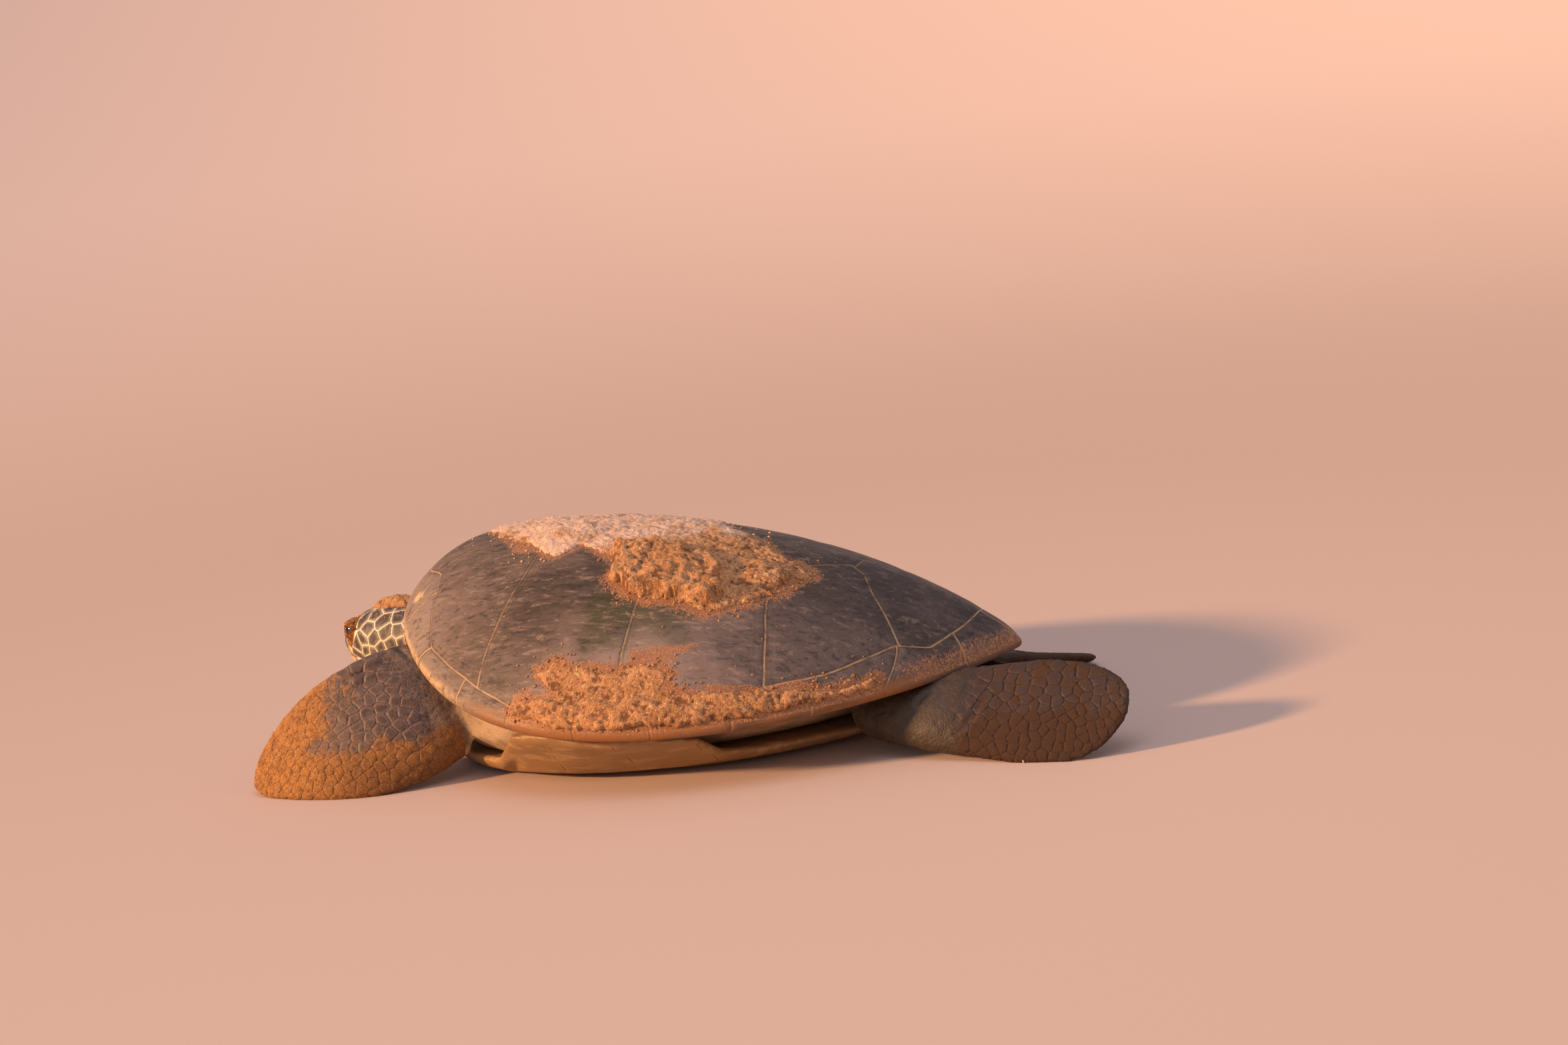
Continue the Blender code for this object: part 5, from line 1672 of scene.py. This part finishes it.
def flank_thickness(co, inside):
    """Thin, with a thick ledge low down, which fades towards the rear."""
    height = co.z - np.interp(co.y, RIM[:COLUMNS // 2 + 1, 1], RIM[:COLUMNS // 2 + 1, 2])
    ledge = smooth(0.040, 0.033, height + 0.008 * noise.noise(co * 30)) * smooth(1.00, 0.0, co.y + 0.2)
    return 0.0016 + 0.0012 * noise.noise(co * 22) + 0.0074 * float(ledge) * (1 + 0.35 * noise.noise(co * 18))


def bounded(outline, margin=0.02):
    """The least and the greatest of an outline's two measures, with a margin."""
    firsts, seconds = zip(*outline)
    return ([min(firsts) - margin, min(seconds) - margin],
            [max(firsts) + margin, max(seconds) + margin])


OVER_RIM = 0.001          # the flank's sand starts this far up from the rim
SHELL_SAND = (("crown", CROWN_SAND, on_crown, crown_thickness, 0.012),
              ("flank", FLANK_SAND, on_flank, flank_thickness, 0.006),
              ("far_flank", FAR_FLANK_SAND, on_far_flank, flank_thickness, 0.006))
crusts = {}
for word, outline, place_at, thickness, ragged in SHELL_SAND:
    low, high = bounded(outline)
    if word != "crown":
        low[1] = OVER_RIM
    crusts[word] = crust(word, low, high, lambda u, v, line=outline: outline_depth(line, u, v),
                         place_at, thickness, ragged)
HEAD_SAND, HEAD_LUMP_LONG, HEAD_LUMP_WIDE = (-.024, -.505), 0.050, 0.028


def on_crown_of_head(x, y):
    """The point of the head straight below a place in plan."""
    point, way, _, _ = surface.ray_cast(Vector((x, y, 0.6)), Vector((0, 0, -1)))
    return (point, way) if point and point.z > 0.15 else None


def head_sand_depth(u, v):
    """How far inside the oval lump on the head each place in plan lies."""
    a, b = u - HEAD_SAND[0], v - HEAD_SAND[1]
    forward = -a * sin(HEAD_TURN) - b * cos(HEAD_TURN)
    aside = a * cos(HEAD_TURN) - b * sin(HEAD_TURN)
    return HEAD_LUMP_WIDE * (1 - np.hypot((forward - 0.006) / HEAD_LUMP_LONG, aside / HEAD_LUMP_WIDE))


def head_thickness(co, inside):
    return 0.0030 + 0.0085 * float(smooth(0.0, 0.016, inside))


low, high = bounded([HEAD_SAND], 0.06)
crusts["head"] = crust("head", low, high, head_sand_depth, on_crown_of_head, head_thickness, 0.005)

# %% [markdown]
# Loose crumbs lie round the crusts: small balls of sand, each pushed out of
# round by noise, half sunk in what they lie on.

# %% Loose crumbs
def crumbs(spots, seed):
    """One bmesh of small uneven balls, from (point, normal, radius)."""
    bm = bmesh.new()
    for number, (point, way, radius) in enumerate(spots):
        ball = bmesh.ops.create_icosphere(bm, subdivisions=2, radius=radius)["verts"]
        for vert in ball:
            lump = noise.noise(vert.co.normalized() * 1.6 + Vector((number, seed, 0)))
            vert.co = point + way * radius * 0.25 + vert.co * (1 + 0.8 * lump)
    return bm


spots = []
TRIES, CRUMB_REACH = 9000, 0.03
HEAD_RING = [(HEAD_SAND[0] + .036 * cos(a) * cos(HEAD_TURN) - .050 * sin(a) * sin(HEAD_TURN),
              HEAD_SAND[1] - .036 * cos(a) * sin(HEAD_TURN) - .050 * sin(a) * cos(HEAD_TURN))
             for a in np.linspace(0, 2 * pi, 25)[:-1]]
for outline, place_at, count in ((HEAD_RING, on_crown_of_head, 90),
                                 (CROWN_SAND, on_crown, 520), (FLANK_SAND, on_flank, 420),
                                 (FAR_FLANK_SAND, on_far_flank, 160)):
    low, high = bounded(outline)
    least = low[1] - CRUMB_REACH
    if place_at in (on_flank, on_far_flank):
        least = max(least, OVER_RIM)
    u = rng.uniform(low[0] - CRUMB_REACH, high[0] + CRUMB_REACH, TRIES)
    v = rng.uniform(least, high[1] + CRUMB_REACH, TRIES)
    depth = outline_depth(outline, u, v)
    chance = np.exp(-np.abs(depth + 0.004) / 0.011) * (depth < 0.006)
    keep = np.flatnonzero(rng.uniform(0, 1, TRIES) < chance)[:count]
    for i in keep:
        found = place_at(u[i], v[i])
        if found:
            spots.append((found[0], found[1], float(0.0006 + 0.0017 * rng.random() ** 3)))
crusts["crumbs"] = crumbs(spots, 3)
print("loose crumbs:", len(spots))

# %% [markdown]
# ## The finish of the sand: quartz grains, damp and packed
# Sand is quartz and shell, so it is rough, and each grain has a colour of its
# own: most are warm brown, some pale, a few nearly black. Damp sand is darker
# than dry, and here the crown has dried more than the flank.

# %% Sand finish
sand_finish, tree, shader, spot = new_finish("packed_beach_sand", 0.93, 1.5)
grain = add(tree, "TexVoronoi", {"Vector": spot, "Scale": 900.0})
grain_tint = add(tree, "SeparateColor", {0: grain["Color"]})[0]
sideways, lengthways, height_up = add(tree, "SeparateXYZ", {"Vector": spot})
# The crest dries first: the damp clod begins further down, and nearer the crest behind.
down_slope = add(tree, "Math", {0: sideways, 1: times(lengthways, 0.6)})[0]
dried = times(ramp(height_up, 0.255, 0.290), ramp(down_slope, 0.115, 0.055))
damp = add(tree, "Math", {0: 1.0, 1: times(dried, 0.6)}, operation="SUBTRACT")[0]
sand_colour = lay((
    (ramp(cloud(22, 4, 0.6, seed=1), 0.40, 0.62), "#A97443"),
    (dried, ramp(cloud(26, 4, 0.65, seed=3), 0.30, 0.52), "#E2C2AE"),
    (ramp(cloud(130, 5, 0.72, seed=5), 0.50, 0.62), 0.75, damp, "#704A26"),
    (ramp(cloud(210, 4, 0.7, seed=15), 0.54, 0.66), 0.65, "#F2D09A"),
    (ramp(grain_tint, 0.45, 0.90), 0.40, "#DDB188"),
    (ramp(grain_tint, 0.22, 0.10), 0.50, "#6A4128"),
    # Painted shade in the crust's hollows, weaker on the dried crest.
    (ramp(attribute("hollow_shade"), 0.50, 1.00), 0.80, damp, "#5E3820"),
), "#C28C5A")
sand_relief = add(tree, "Math", {0: times(grain["Distance"], -1.0),
                                 1: times(cloud(420, 4, 0.7, seed=7), 1.2)})[0]
cover(sand_colour, sand_relief, 0.9, 0.0012)
for word, bm in crusts.items():
    new_piece(f"sand_{word}", bm, sand_finish)
